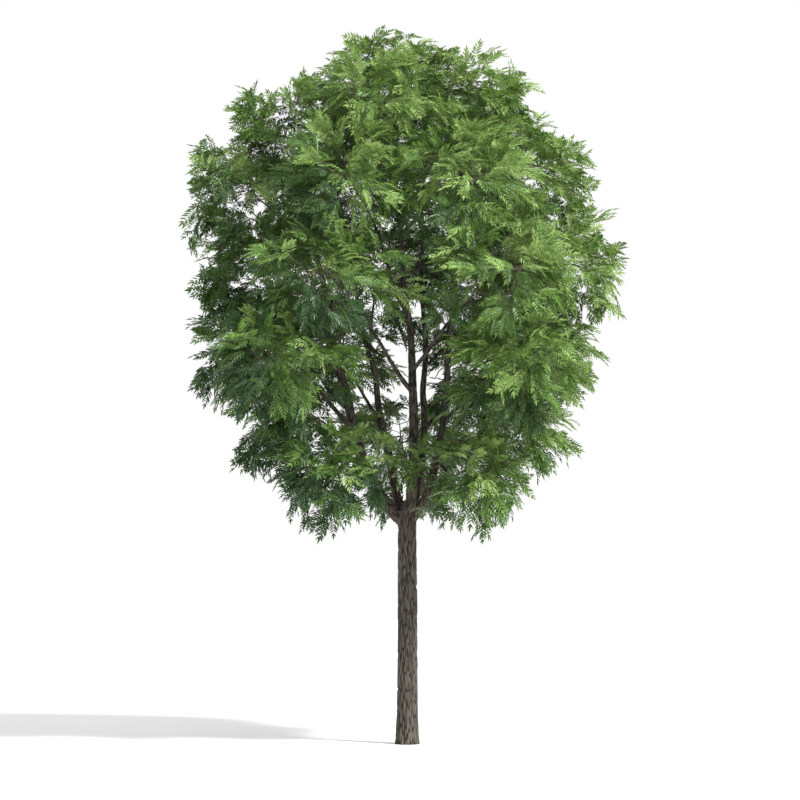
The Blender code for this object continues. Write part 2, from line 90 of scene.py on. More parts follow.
# The rule of the trunk and boughs
FORK_HEIGHT = 2.43
TRUNK_RADIUS = 0.118
TRUNK_TAPER = 0.007
ROOT_FLARE = 0.020
FLARE_HEIGHT = 0.12
TRUNK_SWAY = 0.005
STRAIGHT_FOOT = 0.06
TRUNK_STATIONS = 9
CROTCH = ((0.16, 0.90), (0.23, 0.66), (0.27, 0.30))
STUB_STATIONS = (0.0, 0.12, 0.26, 0.40)
STUB_CUT = 0.54
BOUGH_FOOT = 0.70
BOUGH_STATIONS = 8
SIDE_STATIONS = 5
BOUGH_TIP_RADIUS = 0.014
SIDE_TIP_RADIUS = 0.012
BOUGH_THINNING = 1.15
SIDE_SHARE = 0.58
SIDE_RADIUS = 0.036
WANDER = 0.022
WANDER_WAVE = 1.15
ENTRY = 0.50

# The rule of the masses
FLATNESS = 0.88
CELL_MARGIN = 0.004
LIMB_MARGIN = 0.005
LIMB_STEP = 0.015
STEM_REACH = 0.40
TWIG_REACH = 0.55
TWIGS = 4
SMALL_MASS = 0.45
OUTWARD_BIAS = 0.20
STEM_RADIUS = 0.0125
TWIG_RADIUS = 0.0110
TWIG_TIP_RADIUS = 0.0085
SPRAY_LENGTH = 0.64
SPRAY_WIDTH = 0.50
SPRAY_THICKNESS = 0.012
SPRAY_WIDEST = 0.55
SPRAY_ARCH = 0.05
SPRAY_SUNK = 0.0005
SPRAY_SHRINK = (1.0, 0.82, 0.66, 0.5)
SPRAY_TRIES = 20
SPRAY_SLOTS = ((0.0, 0.0), (0.36, 1.0), (0.42, -1.0), (0.72, 1.0))
MAIN_TWIGS = 2

# The bark's relief
RIDGE_STRETCH = 7.5
RIDGE_EDGE = 0.34
MEAN_RELIEF = 0.62
BARK_STRAY = 0.35
STRAY_SCALE = 2.6
GRAIN_ACROSS = 70.0
GRAIN_ALONG = 11.0
GRAIN_SHARE = 0.28

# The camera, and where its view is free, as (x, z, radius) at the trunk: to the sky, and to the limbs
CAMERA_PLACE = Vector((-0.08, -24.0, 1.78))
CAMERA_TARGET = Vector((-0.08, 0.0, 3.83))
CAMERA_LENS = 96.4
SKY_GAPS = (
    (0.06, 4.89, 0.09),
    (-1.00, 4.05, 0.06),
    (-0.86, 3.77, 0.04),
    (0.24, 3.49, 0.05),
    (-0.10, 3.52, 0.05),
    (0.26, 3.89, 0.06),
    (0.54, 3.72, 0.04),
    (0.59, 3.05, 0.05),
    (-1.03, 3.33, 0.05),
    (-0.53, 2.82, 0.07),
    (-0.28, 5.57, 0.04),
    (0.45, 5.77, 0.04),
)

LIMB_VIEWS = (
    (0.00, 2.58, 0.12),
    (-0.12, 2.76, 0.13),
    (-0.24, 3.02, 0.12),
    (-0.42, 3.35, 0.11),
    (-0.62, 3.75, 0.10),
    (-0.78, 4.10, 0.08),
    (0.07, 3.45, 0.09),
    (0.09, 3.80, 0.09),
    (0.09, 4.20, 0.08),
    (0.18, 2.80, 0.12),
    (0.28, 3.10, 0.11),
    (0.38, 3.50, 0.09),
)


class Slot(Enum):
    """The record's material slots."""

    BARK = "bark"
    FOLIAGE = "foliage"


class Tint(Enum):
    """The greens of the leaves, each with its number in the points that carry them. They are lit and shaded
    copies of one green: painted sunlight, painted half light, painted half shade, painted deep shade and a
    bluish painted shade.
    """

    SUNLIT = 0
    FRESH = 1
    MIDDLE = 2
    DEEP = 3
    BLUISH = 4


@dataclass(frozen=True)
class Bough:
    """A main bough, which swings out from the fork while it turns up, then leans on outwards."""

    name: str
    azimuth: float
    spread: float
    turn: float
    lean: float
    radius: float
    mass: str


@dataclass(frozen=True)
class Mass:
    """A mass of foliage: its place and size, and the bough that its side bough leaves."""

    name: str
    azimuth: float
    reach: float
    height: float
    radius: float
    bough: str
    leaves_at: float

    def centre(self) -> Vector:
        """The middle of the mass."""
        return across(self.azimuth) * self.reach + UP * self.height


BOUGHS = (
    Bough("left", 176.0, 0.36, 0.35, 0.25, 0.074, "head_left"),
    Bough("back_left", 124.0, 0.20, 0.30, 0.22, 0.056, "shoulder_back_left"),
    Bough("centre", -38.0, 0.06, 0.30, 0.06, 0.066, "top"),
    Bough("right", 2.0, 0.25, 0.30, 0.15, 0.052, "head_right"),
    Bough("back_right", 62.0, 0.24, 0.30, 0.20, 0.050, "head_back"),
)

MASSES = (
    Mass("skirt_left", 214.0, 0.88, 2.92, 0.64, "left", 3.10),
    Mass("skirt_right", 318.0, 0.86, 2.88, 0.58, "right", 3.10),
    Mass("low_left", 172.0, 1.18, 3.56, 0.80, "left", 3.32),
    Mass("low_right", 0.0, 1.04, 3.42, 0.76, "right", 3.28),
    Mass("low_front", 272.0, 0.50, 3.00, 0.42, "centre", 3.10),
    Mass("low_back", 92.0, 1.08, 3.26, 0.84, "back_left", 3.14),
    Mass("waist_left", 178.0, 1.54, 4.42, 0.88, "left", 3.72),
    Mass("waist_right", 4.0, 1.30, 4.42, 0.82, "right", 3.92),
    Mass("waist_front_left", 219.0, 1.66, 4.08, 0.76, "left", 3.50),
    Mass("waist_front_right", 318.0, 1.52, 4.06, 0.72, "right", 3.60),
    Mass("waist_back_left", 132.0, 1.46, 4.40, 0.88, "back_left", 3.66),
    Mass("waist_back_right", 52.0, 1.42, 4.16, 0.86, "back_right", 3.54),
    Mass("middle_left", 184.0, 1.56, 5.28, 0.86, "left", 4.52),
    Mass("middle_right", 0.0, 1.70, 5.22, 0.88, "right", 4.45),
    Mass("middle_front_left", 237.0, 1.52, 4.96, 0.84, "centre", 3.90),
    Mass("middle_front_right", 307.0, 1.54, 5.02, 0.82, "centre", 4.15),
    Mass("middle_back_left", 104.0, 1.46, 5.30, 0.88, "back_left", 4.40),
    Mass("middle_back_right", 48.0, 1.56, 5.00, 0.88, "back_right", 4.26),
    Mass("shoulder_left", 180.0, 1.76, 6.08, 0.84, "left", 5.25),
    Mass("shoulder_right", 2.0, 1.16, 6.32, 0.84, "right", 5.30),
    Mass("shoulder_front_left", 243.0, 1.30, 6.02, 0.86, "centre", 4.76),
    Mass("shoulder_front_right", 294.0, 1.28, 5.96, 0.86, "centre", 4.98),
    Mass("shoulder_back_left", 122.0, 1.36, 6.30, 0.86, "", 0.0),
    Mass("shoulder_back_right", 58.0, 1.36, 5.98, 0.86, "back_right", 5.10),
    Mass("head_left", 180.0, 1.22, 6.74, 0.80, "", 0.0),
    Mass("head_right", 350.0, 0.66, 7.12, 0.72, "", 0.0),
    Mass("head_front", 250.0, 0.92, 6.86, 0.76, "centre", 5.85),
    Mass("head_back", 76.0, 0.84, 6.88, 0.78, "", 0.0),
    Mass("top", 178.0, 0.14, 7.38, 0.72, "", 0.0),
)


def across(azimuth: float) -> Vector:
    """The level direction at an azimuth in degrees."""
    angle = math.radians(azimuth)
    return Vector((math.cos(angle), math.sin(angle), 0.0))


def smooth(share: float) -> float:
    """0 to 1 with level ends."""
    share = min(1.0, max(0.0, share))
    return share * share * (3.0 - 2.0 * share)


def trunk_axis(height: float) -> Vector:
    """The middle of the stem at a height."""
    share = (height - STRAIGHT_FOOT) / (FORK_HEIGHT - STRAIGHT_FOOT)
    return Vector((TRUNK_SWAY * math.sin(math.pi * min(1.0, max(0.0, share))) ** 2, 0.0, height))


def trunk_radius(height: float) -> float:
    """The stem's radius at a height."""
    return TRUNK_RADIUS - TRUNK_TAPER * height + ROOT_FLARE * math.exp(-height / FLARE_HEIGHT)


@dataclass
class Limb:
    """A tapering limb: points along its axis and the radius at each."""

    points: list[Vector]
    radii: list[float]

    def at_height(self, height: float) -> tuple[Vector, Vector, float]:
        """Where the limb passes a height.

        Args:
            height: metres over the ground.

        Returns:
            The point on the axis, the direction there, and the radius.
        """
        for i in range(len(self.points) - 1):
            low, high = self.points[i], self.points[i + 1]
            if high.z >= height or i == len(self.points) - 2:
                break
        share = (height - low.z) / (high.z - low.z)
        radius = self.radii[i] + (self.radii[i + 1] - self.radii[i]) * share
        return low.lerp(high, share), (high - low).normalized(), radius

    def samples(self, step: float) -> list[tuple[Vector, float]]:
        """Points along the axis at most a step apart, each with its radius.

        Args:
            step: the largest distance between points.

        Returns:
            Points with their radii.
        """
        found = []
        for i in range(len(self.points) - 1):
            low, high = self.points[i], self.points[i + 1]
            count = math.ceil((high - low).length / step)
            for k in range(count):
                share = k / count
                radius = self.radii[i] + (self.radii[i + 1] - self.radii[i]) * share
                found.append((low.lerp(high, share), radius))
        return [*found, (self.points[-1], self.radii[-1])]

    def rounded(self, step: float) -> tuple[np.ndarray, np.ndarray]:
        """The axis as a smooth line through the same points.

        Args:
            step: the distance between rings.

        Returns:
            The line's points and the radii at them.
        """
        points, radii = [], []
        last = len(self.points) - 1
        for i in range(last):
            before, low = self.points[max(0, i - 1)], self.points[i]
            high, after = self.points[i + 1], self.points[min(last, i + 2)]
            span = (high - low).length
            start = (high - before).normalized() * span
            end = (after - low).normalized() * span
            count = max(1, round(span / step))
            for k in range(count + (i == last - 1)):
                t = k / count
                u = 1.0 - t
                spot = low * (u * u * (1 + 2 * t)) + high * (t * t * (3 - 2 * t))
                points.append(spot + start * (t * u * u) - end * (t * t * u))
                radii.append(self.radii[i] * u + self.radii[i + 1] * t)
        return np.array(points), np.array(radii)


def trunk_limb() -> Limb:
    """The stem to the fork, and the rounded crotch above it.

    Returns:
        The trunk as a limb.
    """
    step = (FORK_HEIGHT - STRAIGHT_FOOT) / TRUNK_STATIONS
    heights = [0.0, STRAIGHT_FOOT] + [STRAIGHT_FOOT + step * i for i in range(1, TRUNK_STATIONS + 1)]
    radii = [trunk_radius(z) for z in heights]
    heights += [FORK_HEIGHT + rise for rise, _ in CROTCH]
    radii += [trunk_radius(FORK_HEIGHT) * share for _, share in CROTCH]
    return Limb([trunk_axis(z) for z in heights], radii)


def bough_limb(bough: Bough) -> Limb:
    """The whole line of a main bough, from the trunk's axis at the fork to the mass that it enters.

    Args:
        bough: the main bough.

    Returns:
        The bough as a limb.
    """
    mass = next(m for m in MASSES if m.name == bough.mass)
    phase = random.Random(f"{SEED} {bough.name}").uniform(0.0, 2.0 * math.pi)
    out, start = across(bough.azimuth), trunk_axis(FORK_HEIGHT)
    entry = mass.centre() - UP * (ENTRY * FLATNESS * mass.radius)
    rise = entry.z - FORK_HEIGHT
    upper = (rise - BOUGH_FOOT) / BOUGH_STATIONS
    heights = [*STUB_STATIONS, *(BOUGH_FOOT + upper * i for i in range(BOUGH_STATIONS + 1))]

    def line(height: float) -> Vector:
        """The bough's smooth line at a height over the fork."""
        swing = bough.spread * (1.0 - math.exp(-height / bough.turn)) + bough.lean * height
        return start + out * swing + UP * height

    points, radii = [], []
    for height in heights:
        share = min(1.0, height / rise)
        stray = WANDER * smooth(3.0 * share - 0.3) * smooth(2.0 - 2.0 * share)
        angle = phase + 2.0 * math.pi * height / WANDER_WAVE
        point = line(height) + (entry - line(rise)) * smooth(share) ** 1.5
        points.append(point + Vector((math.cos(angle), math.sin(angle), 0.0)) * stray)
        thin = (1.0 - share) ** BOUGH_THINNING
        radii.append(BOUGH_TIP_RADIUS + (bough.radius - BOUGH_TIP_RADIUS) * thin)
    return Limb(points, radii)


def cut_limb(limb: Limb, height: float) -> tuple[Limb, Limb]:
    """A limb cut in two where it passes a height: its stub and the rest.

    Args:
        limb: the limb.
        height: metres over the ground.

    Returns:
        The stub and the rest.
    """
    point, _, radius = limb.at_height(height)
    lower = [i for i, p in enumerate(limb.points) if p.z < height]
    upper = [i for i, p in enumerate(limb.points) if p.z > height]
    stub = Limb([*(limb.points[i] for i in lower), point], [*(limb.radii[i] for i in lower), radius])
    rest = Limb([point, *(limb.points[i] for i in upper)], [radius, *(limb.radii[i] for i in upper)])
    return stub, rest


def side_limb(mass: Mass, bough: Limb) -> Limb:
    """A side bough's line, from the axis of the bough that it leaves to the mass that it enters.

    Args:
        mass: the mass of foliage.
        bough: the main bough.

    Returns:
        The side bough as a limb.
    """
    start, along, radius = bough.at_height(mass.leaves_at)
    centre = mass.centre()
    way = centre - start
    out = Vector((way.x, way.y, 0.0)).normalized()
    arrive = (way.normalized() + out * 0.35).normalized()
    entry = centre - Vector((arrive.x, arrive.y, arrive.z * FLATNESS)) * (ENTRY * mass.radius)
    length = (entry - start).length
    leave = (along * 0.45 + out * 0.75 + way.normalized() * 0.35).normalized()
    first, second = start + leave * length * 0.36, entry - arrive * length * 0.33
    foot = max(SIDE_TIP_RADIUS * 1.25, min(SIDE_SHARE * radius, SIDE_RADIUS))
    points, radii = [], []
    for i in range(SIDE_STATIONS + 1):
        t = i / SIDE_STATIONS
        s = 1.0 - t
        points.append(start * s**3 + first * (3 * s * s * t) + second * (3 * s * t * t) + entry * t**3)
        radii.append(SIDE_TIP_RADIUS + (foot - SIDE_TIP_RADIUS) * s**0.9)
    return Limb(points, radii)


class Space:
    """The space of one mass: a flattened ball, cut off at the planes between it and its neighbours'."""

    def __init__(self, mass: Mass) -> None:
        """Finds the neighbours of a mass.

        Args:
            mass: the mass whose space this is.
        """
        self.centre, self.radius = mass.centre(), mass.radius
        self.others = [
            (m.centre(), m.radius)
            for m in MASSES
            if m is not mass and self.apart(m.centre()).length < mass.radius + m.radius
        ]

    def apart(self, point: Vector) -> Vector:
        """From the centre to a point, with heights stretched so that the flattened ball is round."""
        way = point - self.centre
        return Vector((way.x, way.y, way.z / FLATNESS))

    def holds(self, point: Vector, girth: float = 0.0) -> bool:
        """True if a ball as thick as girth lies inside.

        Args:
            point: a place in metres.
            girth: the radius of what is there.

        Returns:
            Whether it lies inside.
        """
        here = self.apart(point)
        if here.length + girth > self.radius:
            return False
        for centre, radius in self.others:
            other = self.apart(centre)
            behind = (here - other).length_squared - radius**2 - here.length_squared + self.radius**2
            if behind / (2.0 * other.length) < (girth + CELL_MARGIN) / FLATNESS:
                return False
        return True

    def edge(self, way: Vector) -> float:
        """How far the space goes from its centre along a direction.

        Args:
            way: a direction of length 1.

        Returns:
            The distance in metres.
        """
        low, high = 0.0, self.radius
        for _ in range(14):
            middle = (low + high) / 2.0
            if self.holds(self.centre + way * middle):
                low = middle
            else:
                high = middle
        return low


@dataclass(frozen=True)
class Twig:
    """A straight twig of the source's rule."""

    root: Vector
    tip: Vector
    root_radius: float
    tip_radius: float


@dataclass(frozen=True)
class Spray:
    """A fan of leaves: where it leaves its twig, its length, where it points, and its upper face."""

    root: Vector
    length: float
    way: Vector
    face: Vector

    def corners(self) -> dict[str, Vector]:
        """The six corners of the solid's leaf in the same place.

        Returns:
            The corners by name.
        """
        normal = (self.face - self.way * self.face.dot(self.way)).normalized()
        side = normal.cross(self.way)
        width, arch = SPRAY_WIDTH * self.length / SPRAY_LENGTH, SPRAY_ARCH * self.length
        widest = self.root + self.way * (SPRAY_WIDEST * self.length) + normal * (0.35 * arch)
        back = self.root + self.way * (SPRAY_WIDEST * 0.55 * self.length) + normal * arch
        return {
            "root": self.root.copy(),
            "tip": self.root + self.way * self.length,
            "left": widest + side * (width / 2.0),
            "right": widest - side * (width / 2.0),
            "upper": back + normal * (SPRAY_THICKNESS / 2.0),
            "lower": back - normal * (SPRAY_THICKNESS / 2.0),
        }


def flat_faces(corners: dict[str, Vector]) -> list[tuple[Vector, ...]]:
    """A spray's two halves, as flat triangles that start a little way out from the root."""
    root = corners["root"].lerp(corners["tip"], 0.06)
    return [(root, corners["tip"], corners[side]) for side in ("left", "right")]


def flat_edges(corners: dict[str, Vector]) -> list[tuple[Vector, Vector]]:
    """A spray's outline and midrib, as pairs of points.

    Args:
        corners: the corners of a spray.

    Returns:
        Pairs of points.
    """
    root = corners["root"].lerp(corners["tip"], 0.06)
    sides = [(end, corners[side]) for end in (root, corners["tip"]) for side in ("left", "right")]
    return [*sides, (root, corners["tip"])]


def cuts(edge: tuple[Vector, Vector], face: tuple[Vector, ...]) -> bool:
    """True if an edge passes through a triangle.

    Args:
        edge: two points.
        face: a triangle.

    Returns:
        Whether it passes through.
    """
    along = edge[1] - edge[0]
    hit = intersect_ray_tri(*face, along, edge[0], True)
    return hit is not None and (hit - edge[0]).dot(along) < along.length_squared


def twig_way(k: int, out: Vector) -> Vector:
    """The k-th of a spread of directions that stays even however many are taken, biased outwards.

    Args:
        k: the number of the direction.
        out: the way out from the tree.

    Returns:
        The direction, of length 1.
    """
    level = 1.0 - 2.0 * ((0.5 + k * 0.7548776662) % 1.0)
    turn = 2.0 * math.pi * ((0.5 + k * 0.5698402910) % 1.0)
    ring = math.sqrt(1.0 - level * level)
    even = Vector((ring * math.cos(turn), ring * math.sin(turn), level))
    return (even + out * OUTWARD_BIAS).normalized()


class Growth:
    """The stem, twigs and sprays of one mass, by the source's rule and with its draws."""

    def __init__(self, mass: Mass, carrier: Limb, limbs: list[Limb]) -> None:
        """Grows the mass.

        Args:
            mass: the mass to fill.
            carrier: the bough whose tip enters it.
            limbs: every limb that twigs and sprays keep clear of.
        """
        self.mass, self.carrier = mass, carrier
        self.space = Space(mass)
        self.dice = random.Random(f"{SEED} {mass.name}")
        centre = self.space.centre
        self.out = Vector((centre.x, centre.y, 0.25)).normalized()
        self.near = [
            (limb, point, radius)
            for limb in limbs
            for point, radius in limb.samples(LIMB_STEP)
            if (point - centre).length < mass.radius + radius + LIMB_MARGIN
        ]
        self.twigs: list[Twig] = []
        self.sprays: list[Spray] = []
        self.grow_stem()
        self.grow_twig(self.out)
        for k in range(1, TWIGS if mass.radius > SMALL_MASS else TWIGS - 2):
            self.grow_twig(twig_way(k, self.out))
        for i, twig in enumerate(self.twigs):
            for back, turn in SPRAY_SLOTS[: 4 if i < MAIN_TWIGS else 3]:
                self.grow_spray(twig, back, turn)

    def clear_twig(self, root: Vector, tip: Vector, girth: float, besides: Limb | None = None) -> bool:
        """True if a twig lies in the space and clear of every limb, besides the one that carries it.

        Args:
            root: its foot.
            tip: its end.
            girth: the radius of what is there.
            besides: a limb that it may touch.

        Returns:
            Whether it is clear.
        """
        if not self.space.holds(tip, girth):
            return False
        along = tip - root
        for limb, point, radius in self.near:
            share = min(1.0, max(0.0, (point - root).dot(along) / along.length_squared))
            apart = (point - root - along * share).length
            if limb is not besides and apart < radius + girth + LIMB_MARGIN:
                return False
        return True

    def clear_spray(self, corners: dict[str, Vector]) -> bool:
        """True if a spray lies in the space, and clear of every limb, twig and other spray.

        Args:
            corners: the corners of a spray.

        Returns:
            Whether it is clear.
        """
        if not all(self.space.holds(p) for name, p in corners.items() if name != "root"):
            return False
        root, tip, upper = corners["root"], corners["tip"], corners["upper"]
        for side in (corners["left"], corners["right"]):
            for face in ((root, side, upper), (tip, side, upper)):
                for _, point, radius in self.near:
                    apart = (closest_point_on_tri(point, *face) - point).length
                    if apart < radius + SPRAY_THICKNESS + LIMB_MARGIN:
                        return False
        return not self.crosses(corners)

    def crosses(self, corners: dict[str, Vector]) -> bool:
        """True if a spray would cut through another one, or through a twig.

        Args:
            corners: the corners of a spray.

        Returns:
            Whether it crosses something.
        """
        faces, edges = flat_faces(corners), flat_edges(corners)
        for twig in self.twigs:
            away = (twig.tip - twig.root) * 0.04
            if any(cuts((twig.root + away, twig.tip - away), face) for face in faces):
                return True
        for spray in self.sprays:
            other = spray.corners()
            if (other["upper"] - corners["upper"]).length > 1.4 * SPRAY_LENGTH:
                continue
            if any(cuts(edge, face) for edge in edges for face in flat_faces(other)):
                return True
            if any(cuts(edge, face) for edge in flat_edges(other) for face in faces):
                return True
        return False

    def grow_stem(self) -> None:
        """The stem, up and outwards from the bough's tip past the middle of the space."""
        space = self.space
        ahead = (self.carrier.points[-1] - self.carrier.points[-2]).normalized()
        self.foot = self.carrier.points[-1] + ahead * GAP
        for turn in (0.0, 40.0, -40.0, 80.0, -80.0, 120.0, -120.0, 180.0):
            lift = Matrix.Rotation(math.radians(turn), 3, "Z") @ (self.out * 0.7 + UP * 0.7).normalized()
            reach = min(STEM_REACH * space.radius, 0.8 * space.edge(lift))
            self.end = space.centre + lift * reach
            if self.clear_twig(self.foot, self.end, STEM_RADIUS, self.carrier):
                break
        self.twigs.append(Twig(self.foot, self.end, STEM_RADIUS, TWIG_RADIUS))

    def grow_twig(self, way: Vector) -> None:
        """One twig, from the stem towards a direction. It forks off below where it points.

        Args:
            way: a direction of length 1.
        """
        tip = self.space.centre + way * (TWIG_REACH * self.space.edge(way))
        stem = self.end - self.foot
        share = (tip - self.foot).dot(stem) / stem.length_squared - 0.35
        root = self.foot + stem * min(0.86, max(0.16, share))
        if (tip - root).length > 0.1 and self.clear_twig(root, tip, TWIG_RADIUS):
            self.twigs.append(Twig(root, tip, TWIG_RADIUS, TWIG_TIP_RADIUS))

    def grow_spray(self, twig: Twig, back: float, turn: float) -> None:
        """One spray on a twig, the one of several tries that lies farthest from the others and is longest.

        Args:
            twig: the twig that carries it.
            back: how far from the twig's tip, as a share of its length.
            turn: 1 or -1 for its sides, and 0 for straight on.
        """
        span = twig.tip - twig.root
        along = span.normalized()
        side = along.cross(UP).normalized() * turn
        base = twig.tip - along * (twig.tip_radius * 0.6 + back * span.length)
        best, best_score = None, -1.0
        for _ in range(SPRAY_TRIES):
            way = (along * 0.6 + side + self.jitter(0.45)).normalized()
            middle = base + way * SPRAY_LENGTH / 2.0 - self.space.centre
            face = middle.normalized() if turn else way.cross(UP) * self.dice.choice((1.0, -1.0))
            face = face + UP * 0.5 + self.jitter(0.35)
            for shrink in SPRAY_SHRINK:
                spray = Spray(base - way * SPRAY_SUNK, SPRAY_LENGTH * shrink, way, face)
                if self.clear_spray(spray.corners()):
                    score = shrink + 0.8 * self.room_at(spray)
                    if score > best_score:
                        best, best_score = spray, score
                    break
        if best:
            self.sprays.append(best)

    def room_at(self, spray: Spray) -> float:
        """How far a spray's middle is from those of the others, in spray lengths, at most 1.

        Args:
            spray: the spray.

        Returns:
            The share of a spray length.
        """
        middles = [s.root + s.way * s.length / 2.0 for s in self.sprays]
        here = spray.root + spray.way * spray.length / 2.0
        return min([1.0, *((here - m).length / SPRAY_LENGTH for m in middles)])

    def jitter(self, size: float) -> Vector:
        """A small random step."""
        return Vector([self.dice.uniform(-size, size) for _ in range(3)])


class Tubes:
    """Round tubes with closed ends, gathered as arrays to become one mesh."""

    def __init__(self) -> None:
        """Starts with none."""
        self.points: list[np.ndarray] = []
        self.faces: list[tuple[int, ...]] = []
        self.count = 0

    def add(self, line: np.ndarray, radii: np.ndarray, sides: int) -> None:
        """Adds a tube.

        Args:
            line: points along its axis.
            radii: the radius at each.
            sides: how many flat sides it has.
        """
        along = np.gradient(line, axis=0)
        along /= np.linalg.norm(along, axis=1)[:, None]
        whole = line[-1] - line[0]
        still = np.eye(3)[int(np.argmin(np.abs(whole)))]
        first = np.cross(along, still)
        first /= np.linalg.norm(first, axis=1)[:, None]
        second = np.cross(along, first)
        angles = np.arange(sides) * (2.0 * np.pi / sides)
        across_first = first[:, None] * np.cos(angles)[None, :, None]
        ring = across_first + second[:, None] * np.sin(angles)[None, :, None]
        made = (line[:, None] + ring * radii[:, None, None]).reshape(-1, 3)
        rings, base = len(line), self.count
        for i in range(rings - 1):
            for j in range(sides):
                k = (j + 1) % sides
                low, high = base + i * sides, base + (i + 1) * sides
                self.faces.append((low + j, low + k, high + k, high + j))
        foot, tip = base + rings * sides, base + rings * sides + 1
        top = base + (rings - 1) * sides
        for j in range(sides):
            k = (j + 1) % sides
            self.faces += [(foot, base + k, base + j), (tip, top + j, top + k)]
        self.points += [made, line[:1], line[-1:]]
        self.count = tip + 1

    def mesh(self, name: str) -> bpy.types.Mesh:
        """All the tubes as one mesh.

        Args:
            name: the name to give.

        Returns:
            The mesh.
        """
        made = bpy.data.meshes.new(name)
        made.from_pydata(np.concatenate(self.points).tolist(), [], self.faces)
        made.update()
        return made


def relief_at(point: Vector, plate: float) -> float:
    """How high the bark stands.

    Args:
        point: a place on the limb.
        plate: the width of a ridge.

    Returns:
        0 in a furrow, up to 1 on a ridge.
    """
    stray = noise.noise_vector(point * STRAY_SCALE) * BARK_STRAY
    spot = Vector((point.x / plate, point.y / plate, point.z / (plate * RIDGE_STRETCH))) + stray
    near = noise.voronoi(spot)[0]
    ridge = smooth((near[1] - near[0]) / RIDGE_EDGE)
    fine = Vector((point.x * GRAIN_ACROSS, point.y * GRAIN_ACROSS, point.z * GRAIN_ALONG))
    grain = 0.5 + 0.5 * noise.noise(fine)
    return ridge * (1.0 - GRAIN_SHARE + GRAIN_SHARE * grain)


def raise_bark(mesh: bpy.types.Mesh, depth_at: Callable[[Vector], float], plate: float) -> None:
    """Lifts a skin's ridges and sinks its furrows, and keeps the relief as a named value of each point.

    Args:
        mesh: the mesh to change.
        depth_at: how deep the furrows are at a place.
        plate: the width of a ridge.
    """
    relief = []
    moved = []
    for vert in mesh.vertices:
        height = relief_at(vert.co, plate)
        relief.append(height)
        moved.extend(vert.co + vert.normal * (depth_at(vert.co) * (height - MEAN_RELIEF)))
    mesh.vertices.foreach_set("co", moved)
    mesh.attributes.new("relief", "FLOAT", "POINT").data.foreach_set("value", relief)
    mesh.polygons.foreach_set("use_smooth", [True] * len(mesh.polygons))
    mesh.update()


def new_object(name: str, mesh: bpy.types.Mesh) -> bpy.types.Object:
    """A mesh as an object of the scene, at the origin.

    Args:
        name: the name to give.
        mesh: the mesh to change.

    Returns:
        The object.
    """
    made = bpy.data.objects.new(name, mesh)
    bpy.context.scene.collection.objects.link(made)
    return made


def make_plain(piece: bpy.types.Object) -> bpy.types.Mesh:
    """Turns what a piece's modifiers make into its own plain mesh.

    Args:
        piece: a piece with modifiers.

    Returns:
        The piece's new mesh.
    """
    bpy.context.view_layer.update()
    evaluated = piece.evaluated_get(bpy.context.evaluated_depsgraph_get())
    given, made = piece.data, bpy.data.meshes.new_from_object(evaluated)
    piece.modifiers.clear()
    piece.data = made
    bpy.data.meshes.remove(given)
    return made


def settle(piece: bpy.types.Object, slot: Slot, *nodes: str) -> None:
    """Fixes a finished piece to the frame.

    Args:
        piece: the finished piece.
        slot: not used.
        nodes: the CAD nodes that it stands for.
    """
    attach(piece, BODY)
    if nodes:
        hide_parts(*nodes)
    log.info("%s: %d faces", piece.name, len(piece.data.polygons))


class Number:
    """A number socket that takes part in Python expressions."""

    def __init__(self, maker: "NodeMaker", socket: bpy.types.NodeSocket) -> None:
        """Wraps a socket of a tree."""
        self.maker, self.socket = maker, socket

    def math(self, operation: str, first: Any, second: Any) -> "Number":
        """One Math node on two values."""
        made = self.maker.add("ShaderNodeMath", {"operation": operation}, {0: first, 1: second})
        return Number(self.maker, made.outputs[0])

    def __add__(self, other: Any) -> "Number":
        """Sum."""
        return self.math("ADD", self, other)

    __radd__ = __add__

    def __sub__(self, other: Any) -> "Number":
        """Difference."""
        return self.math("SUBTRACT", self, other)

    def __rsub__(self, other: Any) -> "Number":
        """Difference from a plain number."""
        return self.math("SUBTRACT", other, self)

    def __mul__(self, other: Any) -> "Number":
        """Product."""
        return self.math("MULTIPLY", self, other)

    __rmul__ = __mul__


@dataclass
class NodeMaker:
    """Adds nodes to one tree."""

    tree: bpy.types.NodeTree

    def add(
        self,
        kind: str,
        settings: dict[str, Any] | None = None,
        inputs: dict[Any, Any] | None = None,
    ) -> bpy.types.Node:
        """Adds a node.

        Args:
            kind: the node's type.
            settings: its own settings, which are set first.
            inputs: values or links of its sockets, by name or number.

        Returns:
            The node.
        """
        node = self.tree.nodes.new(kind)
        for key, value in (settings or {}).items():
            setattr(node, key, value)
        for key, value in (inputs or {}).items():
            value = value.socket if isinstance(value, Number) else value
            if isinstance(value, bpy.types.NodeSocket):
                self.tree.links.new(value, node.inputs[key])
            else:
                node.inputs[key].default_value = value
        return node

    def noise(self, scale: float, stretch: tuple[float, float, float], detail: float) -> Number:
        """Noise on the object's own coordinates.

        Args:
            scale: how fine the noise is.
            stretch: the scale along each axis.
            detail: how many octaves it has.

        Returns:
            The noise.
        """
        place = self.add("ShaderNodeTexCoord").outputs["Object"]
        turned = self.add("ShaderNodeMapping", {}, {"Vector": place, "Scale": stretch})
        values = {"Vector": turned.outputs[0], "Scale": scale, "Detail": detail}
        return Number(self, self.add("ShaderNodeTexNoise", {}, values).outputs[0])

    def blend(self, share: Any, first: Any, second: Any) -> bpy.types.NodeSocket:
        """A colour between two, by a share that is kept from 0 to 1."""
        settings = {"data_type": "RGBA", "clamp_factor": True}
        return self.add("ShaderNodeMix", settings, {0: share, 6: first, 7: second}).outputs[2]

    def band(self, value: Any, low: float, high: float) -> Number:
        """0 below one value, 1 above another, and smooth between."""
        settings = {"interpolation_type": "SMOOTHSTEP"}
        return Number(self, self.add("ShaderNodeMapRange", settings, {0: value, 1: low, 2: high}).outputs[0])


